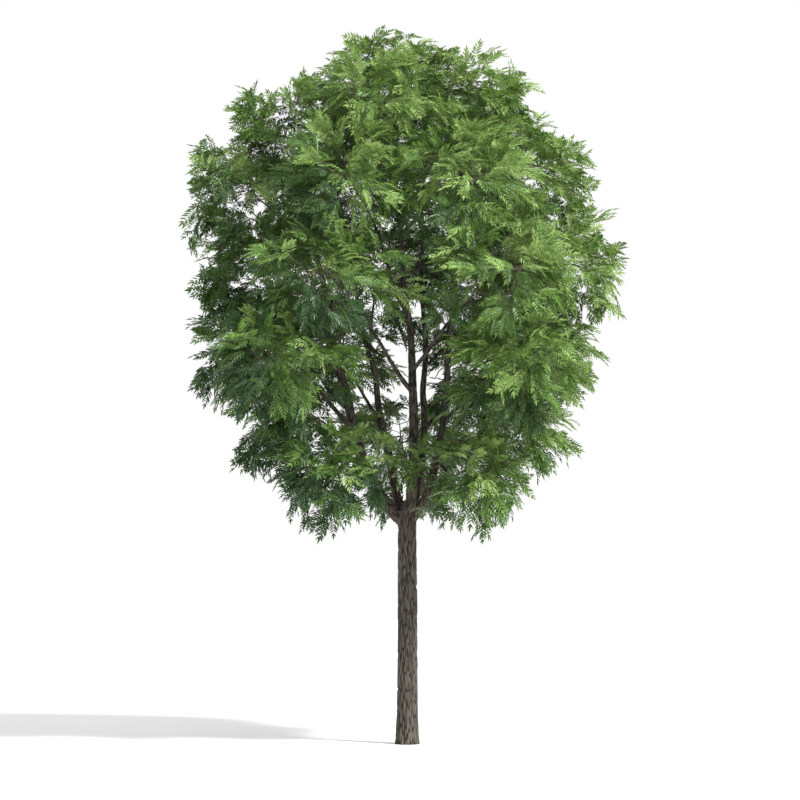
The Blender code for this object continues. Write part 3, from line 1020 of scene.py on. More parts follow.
def blank_material(name: str) -> tuple[bpy.types.Material, NodeMaker, bpy.types.Node]:
    """A new material, the maker of its nodes, and its shader.

    Args:
        name: the name to give.

    Returns:
        The material, its node maker and its shader.
    """
    made = bpy.data.materials.new(name)
    made.use_nodes = True
    return made, NodeMaker(made.node_tree), made.node_tree.nodes["Principled BSDF"]


@dataclass(frozen=True)
class BarkFinish:
    """Grey-brown bark with pale ridges, dark furrows and a warmer tone at the fork."""

    ridge: tuple[float, float, float, float] = (0.060, 0.050, 0.037, 1.0)
    pale: tuple[float, float, float, float] = (0.095, 0.085, 0.066, 1.0)
    furrow: tuple[float, float, float, float] = (0.016, 0.012, 0.009, 1.0)
    warm: tuple[float, float, float, float] = (0.100, 0.064, 0.046, 1.0)
    fork: tuple[float, float, float, float] = (2.1, 2.6, 2.9, 3.6)
    fork_warmth: float = 0.55
    blotch_scale: float = 2.4
    blotch_band: tuple[float, float] = (0.38, 0.66)
    grain_scale: float = 46.0
    grain_stretch: float = 0.16
    cover_band: tuple[float, float] = (0.05, 0.62)
    relief_lift: float = 0.6
    bump_strength: float = 0.55
    bump_depth: float = 0.006
    furrow_roughness: float = 0.96
    ridge_polish: float = 0.12

    def make(self, name: str) -> bpy.types.Material:
        """The material, which reads the relief that its skin keeps.

        Args:
            name: the name to give.

        Returns:
            The material.
        """
        made, maker, shader = blank_material(name)
        attribute = maker.add("ShaderNodeAttribute", {"attribute_name": "relief"})
        relief = Number(maker, attribute.outputs["Fac"])
        blotch = maker.noise(self.blotch_scale, (1.0, 1.0, 0.5), 4.0)
        grain = maker.noise(self.grain_scale, (1.0, 1.0, self.grain_stretch), 5.0)
        place = maker.add("ShaderNodeTexCoord").outputs["Object"]
        level = maker.add("ShaderNodeSeparateXYZ", {}, {0: place}).outputs["Z"]
        low, full, fade, high = self.fork
        fork = maker.band(level, low, full) * (1.0 - maker.band(level, fade, high))
        face = maker.blend(maker.band(blotch, *self.blotch_band), self.ridge, self.pale)
        face = maker.blend(fork * self.fork_warmth, face, self.warm)
        cover = maker.band(relief + (grain - 0.5) * 0.5, *self.cover_band)
        colour = maker.blend(cover, self.furrow, face)
        height = grain + relief * self.relief_lift
        values = {"Height": height, "Strength": self.bump_strength, "Distance": self.bump_depth}
        bump = maker.add("ShaderNodeBump", {}, values)
        maker.tree.links.new(colour, shader.inputs["Base Color"])
        maker.tree.links.new(bump.outputs[0], shader.inputs["Normal"])
        roughness = self.furrow_roughness - relief * self.ridge_polish
        maker.tree.links.new(roughness.socket, shader.inputs["Roughness"])
        return made


@dataclass(frozen=True)
class TwigFinish:
    """Smooth young bark, brown with paler flecks."""

    dark: tuple[float, float, float, float] = (0.052, 0.040, 0.028, 1.0)
    light: tuple[float, float, float, float] = (0.135, 0.112, 0.080, 1.0)
    fleck_scale: float = 26.0
    fleck_band: tuple[float, float] = (0.35, 0.68)
    roughness: float = 0.82

    def make(self, name: str) -> bpy.types.Material:
        """The material.

        Args:
            name: the name to give.

        Returns:
            The material.
        """
        made, maker, shader = blank_material(name)
        fleck = maker.noise(self.fleck_scale, (1.0, 1.0, 1.0), 3.0)
        colour = maker.blend(maker.band(fleck, *self.fleck_band), self.dark, self.light)
        maker.tree.links.new(colour, shader.inputs["Base Color"])
        shader.inputs["Roughness"].default_value = self.roughness
        return made


@dataclass(frozen=True)
class LeafFinish:
    """One green of the leaves: a plain base colour, as it is dealt out by spray, that paints sunlight or shade
    on the same green.
    """

    tint: Tint
    colour: tuple[float, float, float, float]
    roughness: float = 0.48

    def make(self) -> bpy.types.Material:
        """The material.

        Returns:
            The material.
        """
        made, _, shader = blank_material(f"leaf_{self.tint.name.lower()}")
        shader.inputs["Base Color"].default_value = self.colour
        shader.inputs["Roughness"].default_value = self.roughness
        return made


# Painted light and shade on one leaf green: painted sunlight, painted half light, painted half shade, painted
# deep shade, and a bluish painted shade for the low left side.
LEAF_FINISHES = (
    LeafFinish(Tint.SUNLIT, (0.225, 0.345, 0.090, 1.0)),
    LeafFinish(Tint.FRESH, (0.125, 0.228, 0.042, 1.0)),
    LeafFinish(Tint.MIDDLE, (0.074, 0.150, 0.027, 1.0)),
    LeafFinish(Tint.DEEP, (0.042, 0.093, 0.019, 1.0)),
    LeafFinish(Tint.BLUISH, (0.036, 0.086, 0.024, 1.0)),
)


@dataclass(frozen=True)
class LeafShape:
    """One feathery leaf: a rachis with pairs of narrow pointed leaflets and one at its end."""

    name: str
    seed: int
    length: float = 0.20
    pairs: int = 6
    leaflet_length: float = 0.090
    leaflet_width: float = 0.022
    droop: float = 0.055
    splay: float = 52.0
    hang: float = 0.16
    arch: float = 0.016
    rachis_half: float = 0.0016
    rachis_marks: tuple[float, ...] = (0.0, 0.35, 0.7, 1.0)
    first_pair: float = 0.16
    pair_reach: float = 0.80
    least_size: float = 0.72
    size_gain: float = 0.28
    fullest: float = 1.15
    size_stray: tuple[float, float] = (0.92, 1.08)
    splay_closing: float = 16.0
    splay_stray: float = 7.0
    hang_stray: float = 0.1
    foot_stray: float = 0.02
    end_place: float = 0.98
    end_stray: float = 0.15
    end_hang: float = 0.35
    end_size: float = 0.95
    fold: float = 0.45
    tip_hang: float = 0.10
    shoulder_hang: float = 0.03
    shoulders: tuple[float, float] = (0.28, 0.66)
    shoulder_narrowing: float = 0.78

    def spine(self, share: float) -> Vector:
        """A place along the rachis, which arches up a little and then hangs."""
        rise = self.arch * math.sin(math.pi * share) - self.droop * share * share
        return Vector((self.length * share, 0.0, rise))

    def build(self) -> bpy.types.Object:
        """The leaf along +X with its upper face to +Z, in a few dozen faces.

        Returns:
            The finished object.
        """
        dice = random.Random(f"{SEED} leaf {self.seed}")
        shape = bmesh.new()
        stations = [self.spine(s) for s in self.rachis_marks]
        steps = [Vector((0.0, side * self.rachis_half, 0.0)) for side in (-1, 1)]
        rails = [[shape.verts.new(p + step) for p in stations] for step in steps]
        for i in range(len(stations) - 1):
            shape.faces.new((rails[0][i], rails[0][i + 1], rails[1][i + 1], rails[1][i]))
        for i in range(self.pairs):
            share = self.first_pair + self.pair_reach * i / (self.pairs - 1)
            size = self.least_size + self.size_gain * math.sin(math.pi * min(1.0, share * self.fullest))
            size *= dice.uniform(*self.size_stray)
            for side in (-1.0, 1.0):
                turn = dice.uniform(-self.splay_stray, self.splay_stray)
                angle = math.radians(self.splay - self.splay_closing * share + turn)
                fall = -self.hang + dice.uniform(-self.hang_stray, self.hang_stray)
                place = share + dice.uniform(-self.foot_stray, self.foot_stray)
                way = Vector((math.cos(angle), side * math.sin(angle), fall))
                self.add_leaflet(shape, self.spine(place), way, size)
        way = Vector((1.0, dice.uniform(-self.end_stray, self.end_stray), -self.end_hang))
        self.add_leaflet(shape, self.spine(self.end_place), way, self.end_size)
        mesh = bpy.data.meshes.new(self.name)
        shape.to_mesh(mesh)
        shape.free()
        return bpy.data.objects.new(self.name, mesh)

    def add_leaflet(self, shape: bmesh.types.BMesh, base: Vector, way: Vector, size: float) -> None:
        """One pointed leaflet, folded a little along its midrib.

        Args:
            shape: the mesh that it joins.
            base: where it starts.
            way: a direction of length 1.
            size: its size, 1 for a full one.
        """
        way = way.normalized()
        side = UP.cross(way).normalized()
        normal = way.cross(side)
        length, half = self.leaflet_length * size, self.leaflet_width * size / 2.0
        fold = normal * (half * self.fold)
        foot = shape.verts.new(base)
        tip = shape.verts.new(base + way * length - normal * (self.tip_hang * length))
        edges = []
        for turn in (1.0, -1.0):
            low = base + way * (self.shoulders[0] * length) + side * (half * turn) + fold
            out = side * (half * self.shoulder_narrowing * turn)
            high = base + way * (self.shoulders[1] * length) + out + fold
            high -= normal * (self.shoulder_hang * length)
            edges.append((shape.verts.new(low), shape.verts.new(high)))
        shape.faces.new((foot, tip, edges[0][1], edges[0][0]))
        shape.faces.new((foot, edges[1][0], edges[1][1], tip))


LEAF_SHAPES = (
    LeafShape("leaf_shape_0", 0),
    LeafShape("leaf_shape_1", 1, length=0.185, droop=0.085, hang=0.26),
    LeafShape("leaf_shape_2", 2, length=0.215, droop=0.035, splay=48.0, hang=0.10),
    LeafShape("leaf_shape_3", 3, length=0.19, droop=0.070, splay=58.0, hang=0.32),
)


@dataclass(frozen=True)
class Leaf:
    """Where one leaf stands: its foot, its turn, its size, and the numbers of its shape and tint."""

    foot: Vector
    turn: tuple[float, float, float]
    size: float
    shape: int
    tint: int


class LeafSetter:
    """Geometry nodes that set a leaf on each point of a mesh and give it the green of its spray, which is
    painted light or painted shade.
    """

    def __init__(self) -> None:
        """Makes the shapes, the greens and the tree."""
        self.shapes = bpy.data.collections.new("leaf_shapes")
        for shape in LEAF_SHAPES:
            self.shapes.objects.link(shape.build())
        self.greens = {finish.tint: finish.make() for finish in LEAF_FINISHES}
        self.tree = bpy.data.node_groups.new("leaves_on_twigs", "GeometryNodeTree")
        self.build_tree()

    def build_tree(self) -> None:
        """Points, leaf instances, real meshes, then one material for each green of painted light or shade."""
        face = self.tree.interface
        face.new_socket("Geometry", in_out="OUTPUT", socket_type="NodeSocketGeometry")
        face.new_socket("Geometry", in_out="INPUT", socket_type="NodeSocketGeometry")
        face.new_socket("Leaf shapes", in_out="INPUT", socket_type="NodeSocketCollection")
        face.new_socket("Leaf size", in_out="INPUT", socket_type="NodeSocketFloat")
        for tint in Tint:
            face.new_socket(self.socket_of(tint), in_out="INPUT", socket_type="NodeSocketMaterial")
        maker = NodeMaker(self.tree)
        given = maker.add("NodeGroupInput").outputs
        values = {"Collection": given["Leaf shapes"], "Separate Children": True}
        info = maker.add("GeometryNodeCollectionInfo", {}, values)
        size = Number(maker, self.named(maker, "FLOAT", "size")) * given["Leaf size"]
        values = {
            "Points": given["Geometry"],
            "Instance": info.outputs[0],
            "Pick Instance": True,
            "Instance Index": self.named(maker, "INT", "shape"),
            "Rotation": self.named(maker, "FLOAT_VECTOR", "turn"),
            "Scale": size,
        }
        placed = maker.add("GeometryNodeInstanceOnPoints", {}, values)
        result = maker.add("GeometryNodeRealizeInstances", {}, {0: placed.outputs[0]}).outputs[0]
        number = self.named(maker, "INT", "tint")
        # Each tint number is a painted light or painted shade green.
        for tint in Tint:
            settings = {"data_type": "INT", "operation": "EQUAL"}
            chosen = maker.add("FunctionNodeCompare", settings, {2: number, 3: tint.value}).outputs[0]
            values = {"Geometry": result, "Selection": chosen, "Material": given[self.socket_of(tint)]}
            result = maker.add("GeometryNodeSetMaterial", {}, values).outputs[0]
        maker.add("NodeGroupOutput", {}, {0: result})

    @staticmethod
    def socket_of(tint: Tint) -> str:
        """The name of the input that takes a green."""
        return f"{tint.name.capitalize()} leaf"

    @staticmethod
    def named(maker: NodeMaker, kind: str, name: str) -> bpy.types.NodeSocket:
        """A value that each point carries."""
        return maker.add("GeometryNodeInputNamedAttribute", {"data_type": kind}, {"Name": name}).outputs[0]

    def set_leaves(self, name: str, leaves: list[Leaf]) -> bpy.types.Object:
        """The leaves of one mass.

        Args:
            name: the piece's name.
            leaves: where they stand.

        Returns:
            One plain mesh object.
        """
        mesh = bpy.data.meshes.new(name)
        mesh.from_pydata([leaf.foot for leaf in leaves], [], [])
        rows = (
            ("turn", "FLOAT_VECTOR", "vector", [x for leaf in leaves for x in leaf.turn]),
            ("size", "FLOAT", "value", [leaf.size for leaf in leaves]),
            ("shape", "INT", "value", [leaf.shape for leaf in leaves]),
            ("tint", "INT", "value", [leaf.tint for leaf in leaves]),
        )
        for label, kind, key, values in rows:
            mesh.attributes.new(label, kind, "POINT").data.foreach_set(key, values)
        piece = new_object(name, mesh)
        setter = piece.modifiers.new("leaves", "NODES")
        setter.node_group = self.tree
        given = {"Leaf shapes": self.shapes, "Leaf size": 1.0}
        given.update({self.socket_of(tint): green for tint, green in self.greens.items()})
        for item in self.tree.interface.items_tree:
            if item.in_out == "INPUT" and item.name in given:
                setter[item.identifier] = given[item.name]
        made = make_plain(piece)
        for label in ("turn", "size", "shape", "tint"):
            if label in made.attributes:
                made.attributes.remove(made.attributes[label])
        return piece

    def clear(self) -> None:
        """Removes the shapes once every leaf is set."""
        for shape in list(self.shapes.objects):
            bpy.data.objects.remove(shape)
        bpy.data.collections.remove(self.shapes)


@dataclass(frozen=True)
class PaintedLightRule:
    """How the greens are dealt out as painted light: lighter greens where a spray faces the sun to the upper
    right, painted shade deeper low on the left.
    """

    above: float = 0.40
    right: float = 0.22
    behind: float = 0.18
    right_side: float = 0.13
    height_gain: float = 0.09
    middle_height: float = 4.8
    sunlit: float = 0.36
    fresh: float = 0.05
    middle: float = -0.24
    bluish_side: float = -0.3

    def tint(self, place: Vector, out: Vector, stray: float) -> Tint:
        """The green of a spray: its painted light or painted shade.

        Args:
            place: where the spray is.
            out: the way out of its mass there.
            stray: how much lighter it is by chance.

        Returns:
            The green.
        """
        # How far the spray faces the sun at the upper right and front, and how high and far right it stands:
        # the light that the greens paint.
        light = self.above * out.z + self.right * out.x - self.behind * out.y
        light = light + self.right_side * place.x + self.height_gain * (place.z - self.middle_height)
        light += stray
        # Lighter greens are painted sunlight, darker ones painted shade, and the deepest on the low left a
        # bluish painted shade.
        if light > self.sunlit:
            return Tint.SUNLIT
        if light > self.fresh:
            return Tint.FRESH
        if light > self.middle:
            return Tint.MIDDLE
        return Tint.BLUISH if place.x < self.bluish_side and place.z < self.middle_height else Tint.DEEP


@dataclass
class FoliagePiece:
    """The fine growth of one mass: its twigs and its leaves."""

    growth: Growth
    fine_twigs: int = 11
    fine_reach: tuple[float, float] = (0.60, 1.0)
    fine_length: float = 0.42
    fine_slots: tuple[tuple[float, float], ...] = ((0.0, 0.0), (0.40, 1.0), (0.45, -1.0))
    leaf_room: float = 0.16
    leaf_reach: float = 0.30
    overhang: float = 0.14
    box_room: float = 0.02
    fine_shrink: tuple[float, ...] = (1.0, 0.75, 0.55)
    fine_starts: tuple[float, ...] = (0.3, 0.5, 0.7, 0.9)
    fine_shortest: float = 0.08
    fine_radii: tuple[float, float] = (0.0055, 0.0040)
    fine_lengths: tuple[float, float] = (0.85, 1.1)
    fine_along: float = 0.7
    fine_out: float = 0.9
    fine_lift: float = 0.6
    fine_stray: float = 0.35
    twig_bend: float = 0.05
    midrib_share: float = 0.86
    midrib_arch: float = SPRAY_ARCH * 1.1
    midrib_hang: float = 0.07
    midrib_radii: tuple[float, float] = (0.0038, 0.0014)
    side_twig_radii: tuple[float, float] = (0.0018, 0.0009)
    side_twig_stray: float = 0.3
    side_twig_along: float = 0.55
    side_twig_out: float = 0.85
    side_twig_share: float = 0.55
    side_twig_shortest: float = 0.035
    end_leaf_out: float = 0.8
    end_leaf_along: float = 0.35
    inner_leaf_place: float = 0.45
    inner_leaf_along: float = 0.8
    inner_leaf_back: float = 0.55
    station_step: float = 0.072
    station_start: float = 0.14
    station_reach: float = 0.80
    foot_width: float = 0.35
    fan: tuple[float, ...] = (-0.7, 0.0, 0.7)
    leaf_sizes: tuple[float, float] = (0.80, 1.08)
    leaf_hang: tuple[float, float] = (-0.25, 0.35)
    leaf_outward: float = 0.45
    leaf_stray: float = 0.50
    leaf_facing: float = 0.7
    leaf_lift: float = 0.30
    leaf_tilt: float = 0.70
    stray_green: float = 0.16
    greens: PaintedLightRule = PaintedLightRule()
    green_place: float = 0.6
    green_stray: float = 0.42
    limb_clearance: float = 0.02
    view_clearance: float = 0.04
    tubes: Tubes = field(default_factory=Tubes)
    leaves: list[Leaf] = field(default_factory=list)

    def grow(self) -> None:
        """Takes the source's twigs and sprays, adds finer ones, and sets leaves along every spray."""
        mass = self.growth.mass
        self.dice = random.Random(f"{SEED} fine {mass.name}")
        self.tree = kdtree.KDTree(len(self.growth.near))
        for i, (_, point, _) in enumerate(self.growth.near):
            self.tree.insert(point, i)
        self.tree.balance()
        twigs = list(self.growth.twigs)
        for twig in twigs:
            self.add_twig(twig, 5, 6)
        sprays = list(self.growth.sprays)
        count = self.fine_twigs if mass.radius > SMALL_MASS else 0
        for k in range(TWIGS, TWIGS + count):
            sprays += self.fine_sprays(k, twigs)
        for spray in sprays:
            self.leaf_out(spray)

    def step(self, size: float) -> Vector:
        """A small random step."""
        return Vector([self.dice.uniform(-size, size) for _ in range(3)])

    def add_twig(self, twig: Twig, sides: int, parts: int) -> None:
        """Adds a twig with a slight bend, its ends where the source has them.

        Args:
            twig: the twig.
            sides: how many flat sides it has.
            parts: how many straight parts it has.
        """
        bend = self.step(self.twig_bend) * (twig.tip - twig.root).length
        line = []
        for i in range(parts + 1):
            share = i / parts
            line.append(twig.root.lerp(twig.tip, share) + bend * math.sin(math.pi * share))
        self.tubes.add(np.array(line), np.linspace(twig.root_radius, twig.tip_radius * 0.5, parts + 1), sides)

    def fine_sprays(self, k: int, twigs: list[Twig]) -> list[Spray]:
        """One finer twig towards the k-th direction, and the sprays that it carries.

        Args:
            k: the number of the direction.
            twigs: the twigs that it may leave.

        Returns:
            The sprays.
        """
        growth = self.growth
        way = twig_way(k, growth.out)
        tip = growth.space.centre + way * (self.dice.uniform(*self.fine_reach) * growth.space.edge(way))
        best, shortest = growth.foot, math.inf
        for twig in twigs:
            for share in self.fine_starts:
                spot = twig.root.lerp(twig.tip, share)
                if (tip - spot).length < shortest:
                    best, shortest = spot, (tip - spot).length
        if shortest < self.fine_shortest:
            return []
        self.add_twig(Twig(best, tip, *self.fine_radii), 4, 4)
        along = (tip - best).normalized()
        side = along.cross(UP).normalized()
        made = []
        for back, turn in self.fine_slots:
            base = tip - (tip - best) * back
            heading = along * self.fine_along + side * turn * self.fine_out + self.step(self.fine_stray)
            heading.normalize()
            face = (base - growth.space.centre).normalized() + UP * self.fine_lift
            face += self.step(self.fine_stray)
            length = self.fine_length * self.dice.uniform(*self.fine_lengths)
            for shrink in self.fine_shrink:
                end = base + heading * (length * shrink)
                if growth.space.holds(end, -self.overhang) and self.in_box(end, 0.0):
                    made.append(Spray(base, length * shrink, heading, face))
                    break
        return made

    def in_box(self, point: Vector, room: float) -> bool:
        """True if a point is in the CAD model's box, grown by some room."""
        low, high = CAD_BOX
        return all(low[i] - room < point[i] < high[i] + room for i in range(3))

    def leaf_out(self, spray: Spray) -> None:
        """Sets the midrib, side twigs and leaves of a spray, arched and hanging at its end.

        Args:
            spray: the spray.
        """
        normal = (spray.face - spray.way * spray.face.dot(spray.way)).normalized()
        side = normal.cross(spray.way)
        length = spray.length * self.midrib_share

        def midrib(share: float) -> Vector:
            """A place on the midrib.

            Args:
                share: how far along it.

            Returns:
                The place.
            """
            rise = normal * (self.midrib_arch * math.sin(math.pi * share) * length)
            hang = UP * (self.midrib_hang * length * share * share)
            return spray.root + spray.way * (share * length) + rise - hang

        line = np.array([midrib(i / 3) for i in range(4)])
        self.tubes.add(line, np.linspace(*self.midrib_radii, 4), 3)
        tint = self.tint_of(spray)
        stations = max(4, round(spray.length / self.station_step))
        turn = self.dice.choice((1.0, -1.0))
        for i in range(stations):
            share = self.station_start + self.station_reach * i / (stations - 1)
            turn = -turn
            half = SPRAY_WIDTH / 2.0 * spray.length / SPRAY_LENGTH
            if share < SPRAY_WIDEST:
                half = half * (self.foot_width + (1.0 - self.foot_width) * share / SPRAY_WIDEST)
            else:
                half = half * (1.0 - share) / (1.0 - SPRAY_WIDEST)
            root = midrib(share)
            stray = normal * self.dice.uniform(-self.side_twig_stray, self.side_twig_stray)
            way = spray.way * self.side_twig_along + side * (self.side_twig_out * turn) + stray
            way.normalize()
            tip = root + way * max(self.side_twig_shortest, half * self.side_twig_share)
            self.tubes.add(np.array([root, tip]), np.array(self.side_twig_radii), 3)
            self.set_leaf(tip, way * self.end_leaf_out + spray.way * self.end_leaf_along, normal, tint)
            back = spray.way * self.inner_leaf_along - side * (self.inner_leaf_back * turn)
            self.set_leaf(root.lerp(tip, self.inner_leaf_place), back, normal, tint)
        for fan in self.fan:
            self.set_leaf(midrib(1.0), spray.way + side * fan, normal, tint)

    def set_leaf(self, foot: Vector, way: Vector, normal: Vector, tint: Tint) -> None:
        """Sets one leaf, if it stays in the space, clear of the limbs and out of the sky gaps.

        Args:
            foot: where it starts.
            way: a direction of length 1.
            normal: the way that its upper face looks.
            tint: the green of its spray.
        """
        outward = (foot - self.growth.space.centre).normalized()
        way = way.normalized() + outward * self.leaf_outward + self.step(self.leaf_stray)
        way -= UP * self.dice.uniform(*self.leaf_hang)
        way.normalize()
        face = normal * self.leaf_facing + UP * self.leaf_lift + self.step(self.leaf_tilt)
        face = (face - way * face.dot(way)).normalized()
        size = self.dice.uniform(*self.leaf_sizes)
        shape, chance = self.dice.randrange(len(LEAF_SHAPES)), self.dice.random()
        if not self.has_room(foot, foot + way * (self.leaf_room * size)):
            return
        turned = Matrix((way, face.cross(way), face)).transposed().to_euler()
        # By chance a leaf takes a neighbouring green of painted light or shade.
        if chance < self.stray_green:
            tint = Tint.FRESH if tint in (Tint.SUNLIT, Tint.MIDDLE) else Tint.MIDDLE
        self.leaves.append(Leaf(foot, tuple(turned), size, shape, tint.value))

    def has_room(self, foot: Vector, tip: Vector) -> bool:
        """True if a leaf from foot to tip may stand.

        Args:
            foot: where it starts.
            tip: its end.

        Returns:
            Whether a leaf may stand.
        """
        space = self.growth.space
        if not space.holds(tip, -self.overhang) or not space.holds(foot, -self.overhang / 2.0):
            return False
        if not self.in_box(foot.lerp(tip, self.leaf_reach / self.leaf_room), self.box_room):
            return False
        middle = foot.lerp(tip, 0.5)
        if self.growth.near:
            _, index, apart = self.tree.find(middle)
            if apart < self.growth.near[index][2] + self.limb_clearance:
                return False
        ahead = (0.0 - CAMERA_PLACE.y) / (middle.y - CAMERA_PLACE.y)
        seen = CAMERA_PLACE + (middle - CAMERA_PLACE) * ahead
        gaps = SKY_GAPS + LIMB_VIEWS if middle.y < 0.0 else SKY_GAPS
        room = self.view_clearance
        return all(math.hypot(seen.x - x, seen.z - z) > radius + room for x, z, radius in gaps)

    def tint_of(self, spray: Spray) -> Tint:
        """The green of a spray, its painted light or painted shade, read a little past its middle.

        Args:
            spray: the spray.

        Returns:
            The green.
        """
        place = spray.root + spray.way * (spray.length * self.green_place)
        out = (place - self.growth.space.centre).normalized()
        return self.greens.tint(place, out, self.dice.uniform(-self.green_stray, self.green_stray))

    def build(self, setter: LeafSetter, bark: bpy.types.Material) -> None:
        """Makes the two pieces and dresses them.

        Args:
            setter: what sets the leaves.
            bark: the material of bark.
        """
        name = self.growth.mass.name
        twigs = new_object(f"twigs_{name}", self.tubes.mesh(f"twigs_{name}"))
        twigs.data.materials.append(bark)
        settle(twigs, Slot.BARK)
        leaves = setter.set_leaves(f"leaves_{name}", self.leaves)
        settle(leaves, Slot.FOLIAGE, f"foliage_{name}")


@dataclass
class TrunkSkin:
    """The stem with its root flare, its fork and the stubs of its boughs, fused and covered in bark."""

    stubs: list[Limb]
    grid: float = 0.0090
    sides: int = 48
    plate: float = 0.026
    depth_share: float = 0.13
    bough_wide: float = 0.062
    bough_from: float = 2.35
    bough_blend: float = 0.5
    line_step: float = 0.03
    under_ground: float = 0.03

    def depth_at(self, point: Vector) -> float:
        """How deep the furrows are at a place, a share of the stem's radius and past the fork of a bough's.

        Args:
            point: the place.

        Returns:
            The depth.
        """
        wide = trunk_radius(min(point.z, FORK_HEIGHT))
        past_fork = smooth((point.z - self.bough_from) / self.bough_blend)
        return self.depth_share * (wide + (self.bough_wide - wide) * past_fork)

    def build(self) -> bpy.types.Object:
        """One closed skin, cut flat at the ground.

        Returns:
            The finished object.
        """
        tubes = Tubes()
        line, radii = trunk_limb().rounded(self.line_step)
        line[0, 2] -= self.under_ground
        tubes.add(line, radii, self.sides)
        for stub in self.stubs:
            line, radii = stub.rounded(self.line_step)
            tubes.add(line, radii, self.sides // 2)
        piece = new_object("bark_trunk", tubes.mesh("bark_trunk"))
        fuse = piece.modifiers.new("fuse", "REMESH")
        fuse.mode = "VOXEL"
        fuse.voxel_size = self.grid
        mesh = make_plain(piece)
        shape = bmesh.new()
        shape.from_mesh(mesh)
        for _ in range(3):
            axes = {f"use_axis_{axis}": True for axis in "xyz"}
            bmesh.ops.smooth_vert(shape, verts=shape.verts, factor=0.5, **axes)
        whole = [*shape.verts, *shape.edges, *shape.faces]
        ground = {"plane_co": (0, 0, 0), "plane_no": (0, 0, 1), "clear_inner": True}
        cut = bmesh.ops.bisect_plane(shape, geom=whole, **ground)
        rim = [e for e in cut["geom_cut"] if isinstance(e, bmesh.types.BMEdge)]
        bmesh.ops.holes_fill(shape, edges=rim)
        bmesh.ops.recalc_face_normals(shape, faces=shape.faces)
        shape.to_mesh(mesh)
        shape.free()
        raise_bark(mesh, self.depth_at, self.plate)
        for vert in mesh.vertices:
            vert.co.z = max(0.0, vert.co.z)
        return piece

    def dress(self, piece: bpy.types.Object, bark: bpy.types.Material) -> None:
        """Gives the skin its bark and fixes it to the frame.

        Args:
            piece: the piece.
            bark: the material of bark.
        """
        piece.data.materials.clear()
        piece.data.materials.append(bark)
        settle(piece, Slot.BARK, "trunk")


@dataclass
class LimbSkin:
    """The bark of one bough or side bough."""

    name: str
    node: str
    limb: Limb
    step: float
    sides: int
    plate: float
    depth_share: float = 0.13

    def build(self) -> bpy.types.Object:
        """A tube along the limb's smooth line, with its relief.

        Returns:
            The finished object.
        """
        line, radii = self.limb.rounded(self.step)
        tubes = Tubes()
        tubes.add(line, radii, self.sides)
        piece = new_object(self.name, tubes.mesh(self.name))
        heights = line[:, 2]

        def depth_at(point: Vector) -> float:
            """A share of the radius of the nearest ring."""
            return self.depth_share * float(radii[int(np.argmin(np.abs(heights - point.z)))])

        raise_bark(piece.data, depth_at, self.plate)
        return piece

    def dress(self, piece: bpy.types.Object, bark: bpy.types.Material) -> None:
        """Gives the skin its bark and fixes it to the frame."""
        piece.data.materials.append(bark)
        settle(piece, Slot.BARK, self.node)


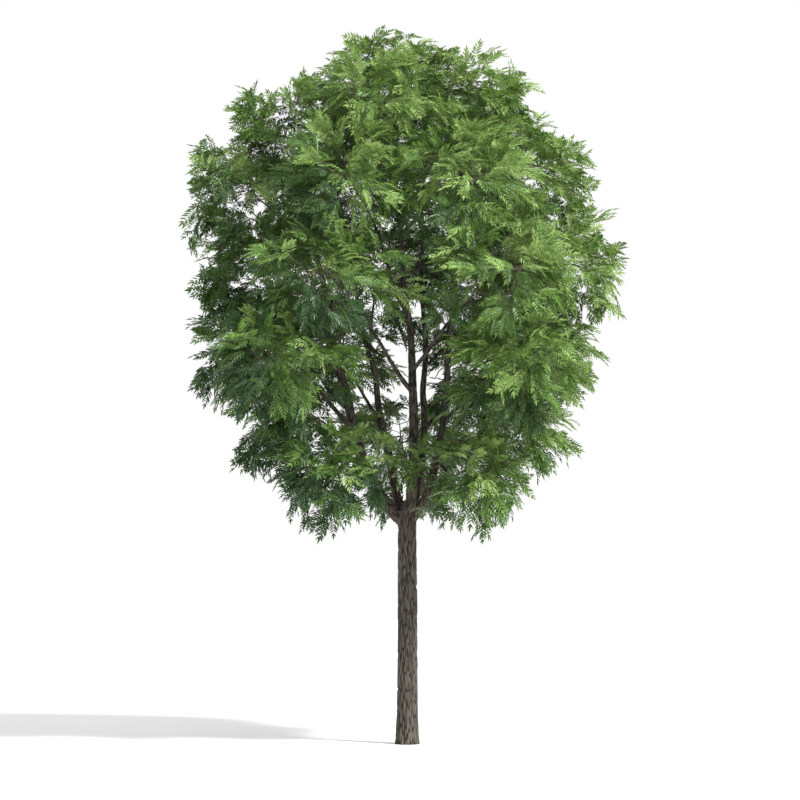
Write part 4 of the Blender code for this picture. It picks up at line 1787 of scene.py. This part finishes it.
@dataclass(frozen=True)
class Studio:
    """The pale floor, the soft lights and the camera."""

    floor_size: float = 160.0
    sun_strength: float = 5.2
    sun_softness: float = 0.16
    sun_from: tuple[float, float, float] = (0.80, -0.62, 0.95)
    sky_strength: float = 1.0
    sensor_width: float = 36.0
    farthest: float = 400.0
    floor_dark: tuple[float, float, float, float] = (0.80, 0.80, 0.80, 1.0)
    floor_pale: tuple[float, float, float, float] = (0.84, 0.84, 0.84, 1.0)
    floor_roughness: float = 0.9

    def build(self) -> None:
        """Makes them all."""
        scene = bpy.context.scene
        scene.view_settings.view_transform = "Standard"
        self.build_floor()
        world = bpy.data.worlds.new("studio")
        world.use_nodes = True
        sky = world.node_tree.nodes["Background"]
        sky.inputs["Color"].default_value = (1.0, 1.0, 1.0, 1.0)
        sky.inputs["Strength"].default_value = self.sky_strength
        scene.world = world
        light = bpy.data.lights.new("sun", "SUN")
        light.energy = self.sun_strength
        light.angle = self.sun_softness
        sun = bpy.data.objects.new("sun", light)
        sun.rotation_euler = (-Vector(self.sun_from)).to_track_quat("-Z", "Y").to_euler()
        scene.collection.objects.link(sun)
        lens = bpy.data.cameras.new("camera")
        lens.lens = CAMERA_LENS
        lens.sensor_width = self.sensor_width
        lens.clip_end = self.farthest
        camera = bpy.data.objects.new("camera", lens)
        camera.location = CAMERA_PLACE
        camera.rotation_euler = (CAMERA_TARGET - CAMERA_PLACE).to_track_quat("-Z", "Y").to_euler()
        scene.collection.objects.link(camera)
        scene.camera = camera

    def build_floor(self) -> None:
        """A pale floor, which isn't part of the tree."""
        shape = bmesh.new()
        bmesh.ops.create_grid(shape, x_segments=2, y_segments=2, size=self.floor_size / 2.0)
        mesh = bpy.data.meshes.new("floor")
        shape.to_mesh(mesh)
        shape.free()
        floor = new_object("floor", mesh)
        made, maker, shader = blank_material("pale_floor")
        speck = maker.noise(3.0, (1.0, 1.0, 1.0), 2.0)
        colour = maker.blend(speck, self.floor_dark, self.floor_pale)
        maker.tree.links.new(colour, shader.inputs["Base Color"])
        shader.inputs["Roughness"].default_value = self.floor_roughness
        mesh.materials.append(made)


def main() -> None:
    """Builds the tree from its trunk out to its leaves."""
    logging.basicConfig(level=logging.INFO, format="%(message)s")
    noise.seed_set(SEED)
    Studio().build()
    bark = BarkFinish().make("bark_old")
    young = TwigFinish().make("bark_young")

    whole = {b.name: bough_limb(b) for b in BOUGHS}
    halves = {name: cut_limb(limb, FORK_HEIGHT + STUB_CUT) for name, limb in whole.items()}
    sides = {m.name: side_limb(m, whole[m.bough]) for m in MASSES if m.bough}

    trunk = TrunkSkin([stub for stub, _ in halves.values()])
    trunk.dress(trunk.build(), bark)
    for name, (_, limb) in halves.items():
        skin = LimbSkin(f"bark_bough_{name}", f"bough_{name}", limb, step=0.020, sides=26, plate=0.024)
        skin.dress(skin.build(), bark)
    for name, limb in sides.items():
        node = f"side_bough_{name}"
        skin = LimbSkin(f"bark_{node}", node, limb, step=0.030, sides=12, plate=0.018)
        skin.dress(skin.build(), bark)

    carriers = {b.mass: whole[b.name] for b in BOUGHS} | sides
    limbs = [trunk_limb(), *whole.values(), *sides.values()]
    setter = LeafSetter()
    total = 0
    for mass in MASSES:
        piece = FoliagePiece(Growth(mass, carriers[mass.name], limbs))
        piece.grow()
        piece.build(setter, young)
        total += len(piece.leaves)
    setter.clear()
    log.info("%d leaves", total)


if __name__ == "__main__":
    main()
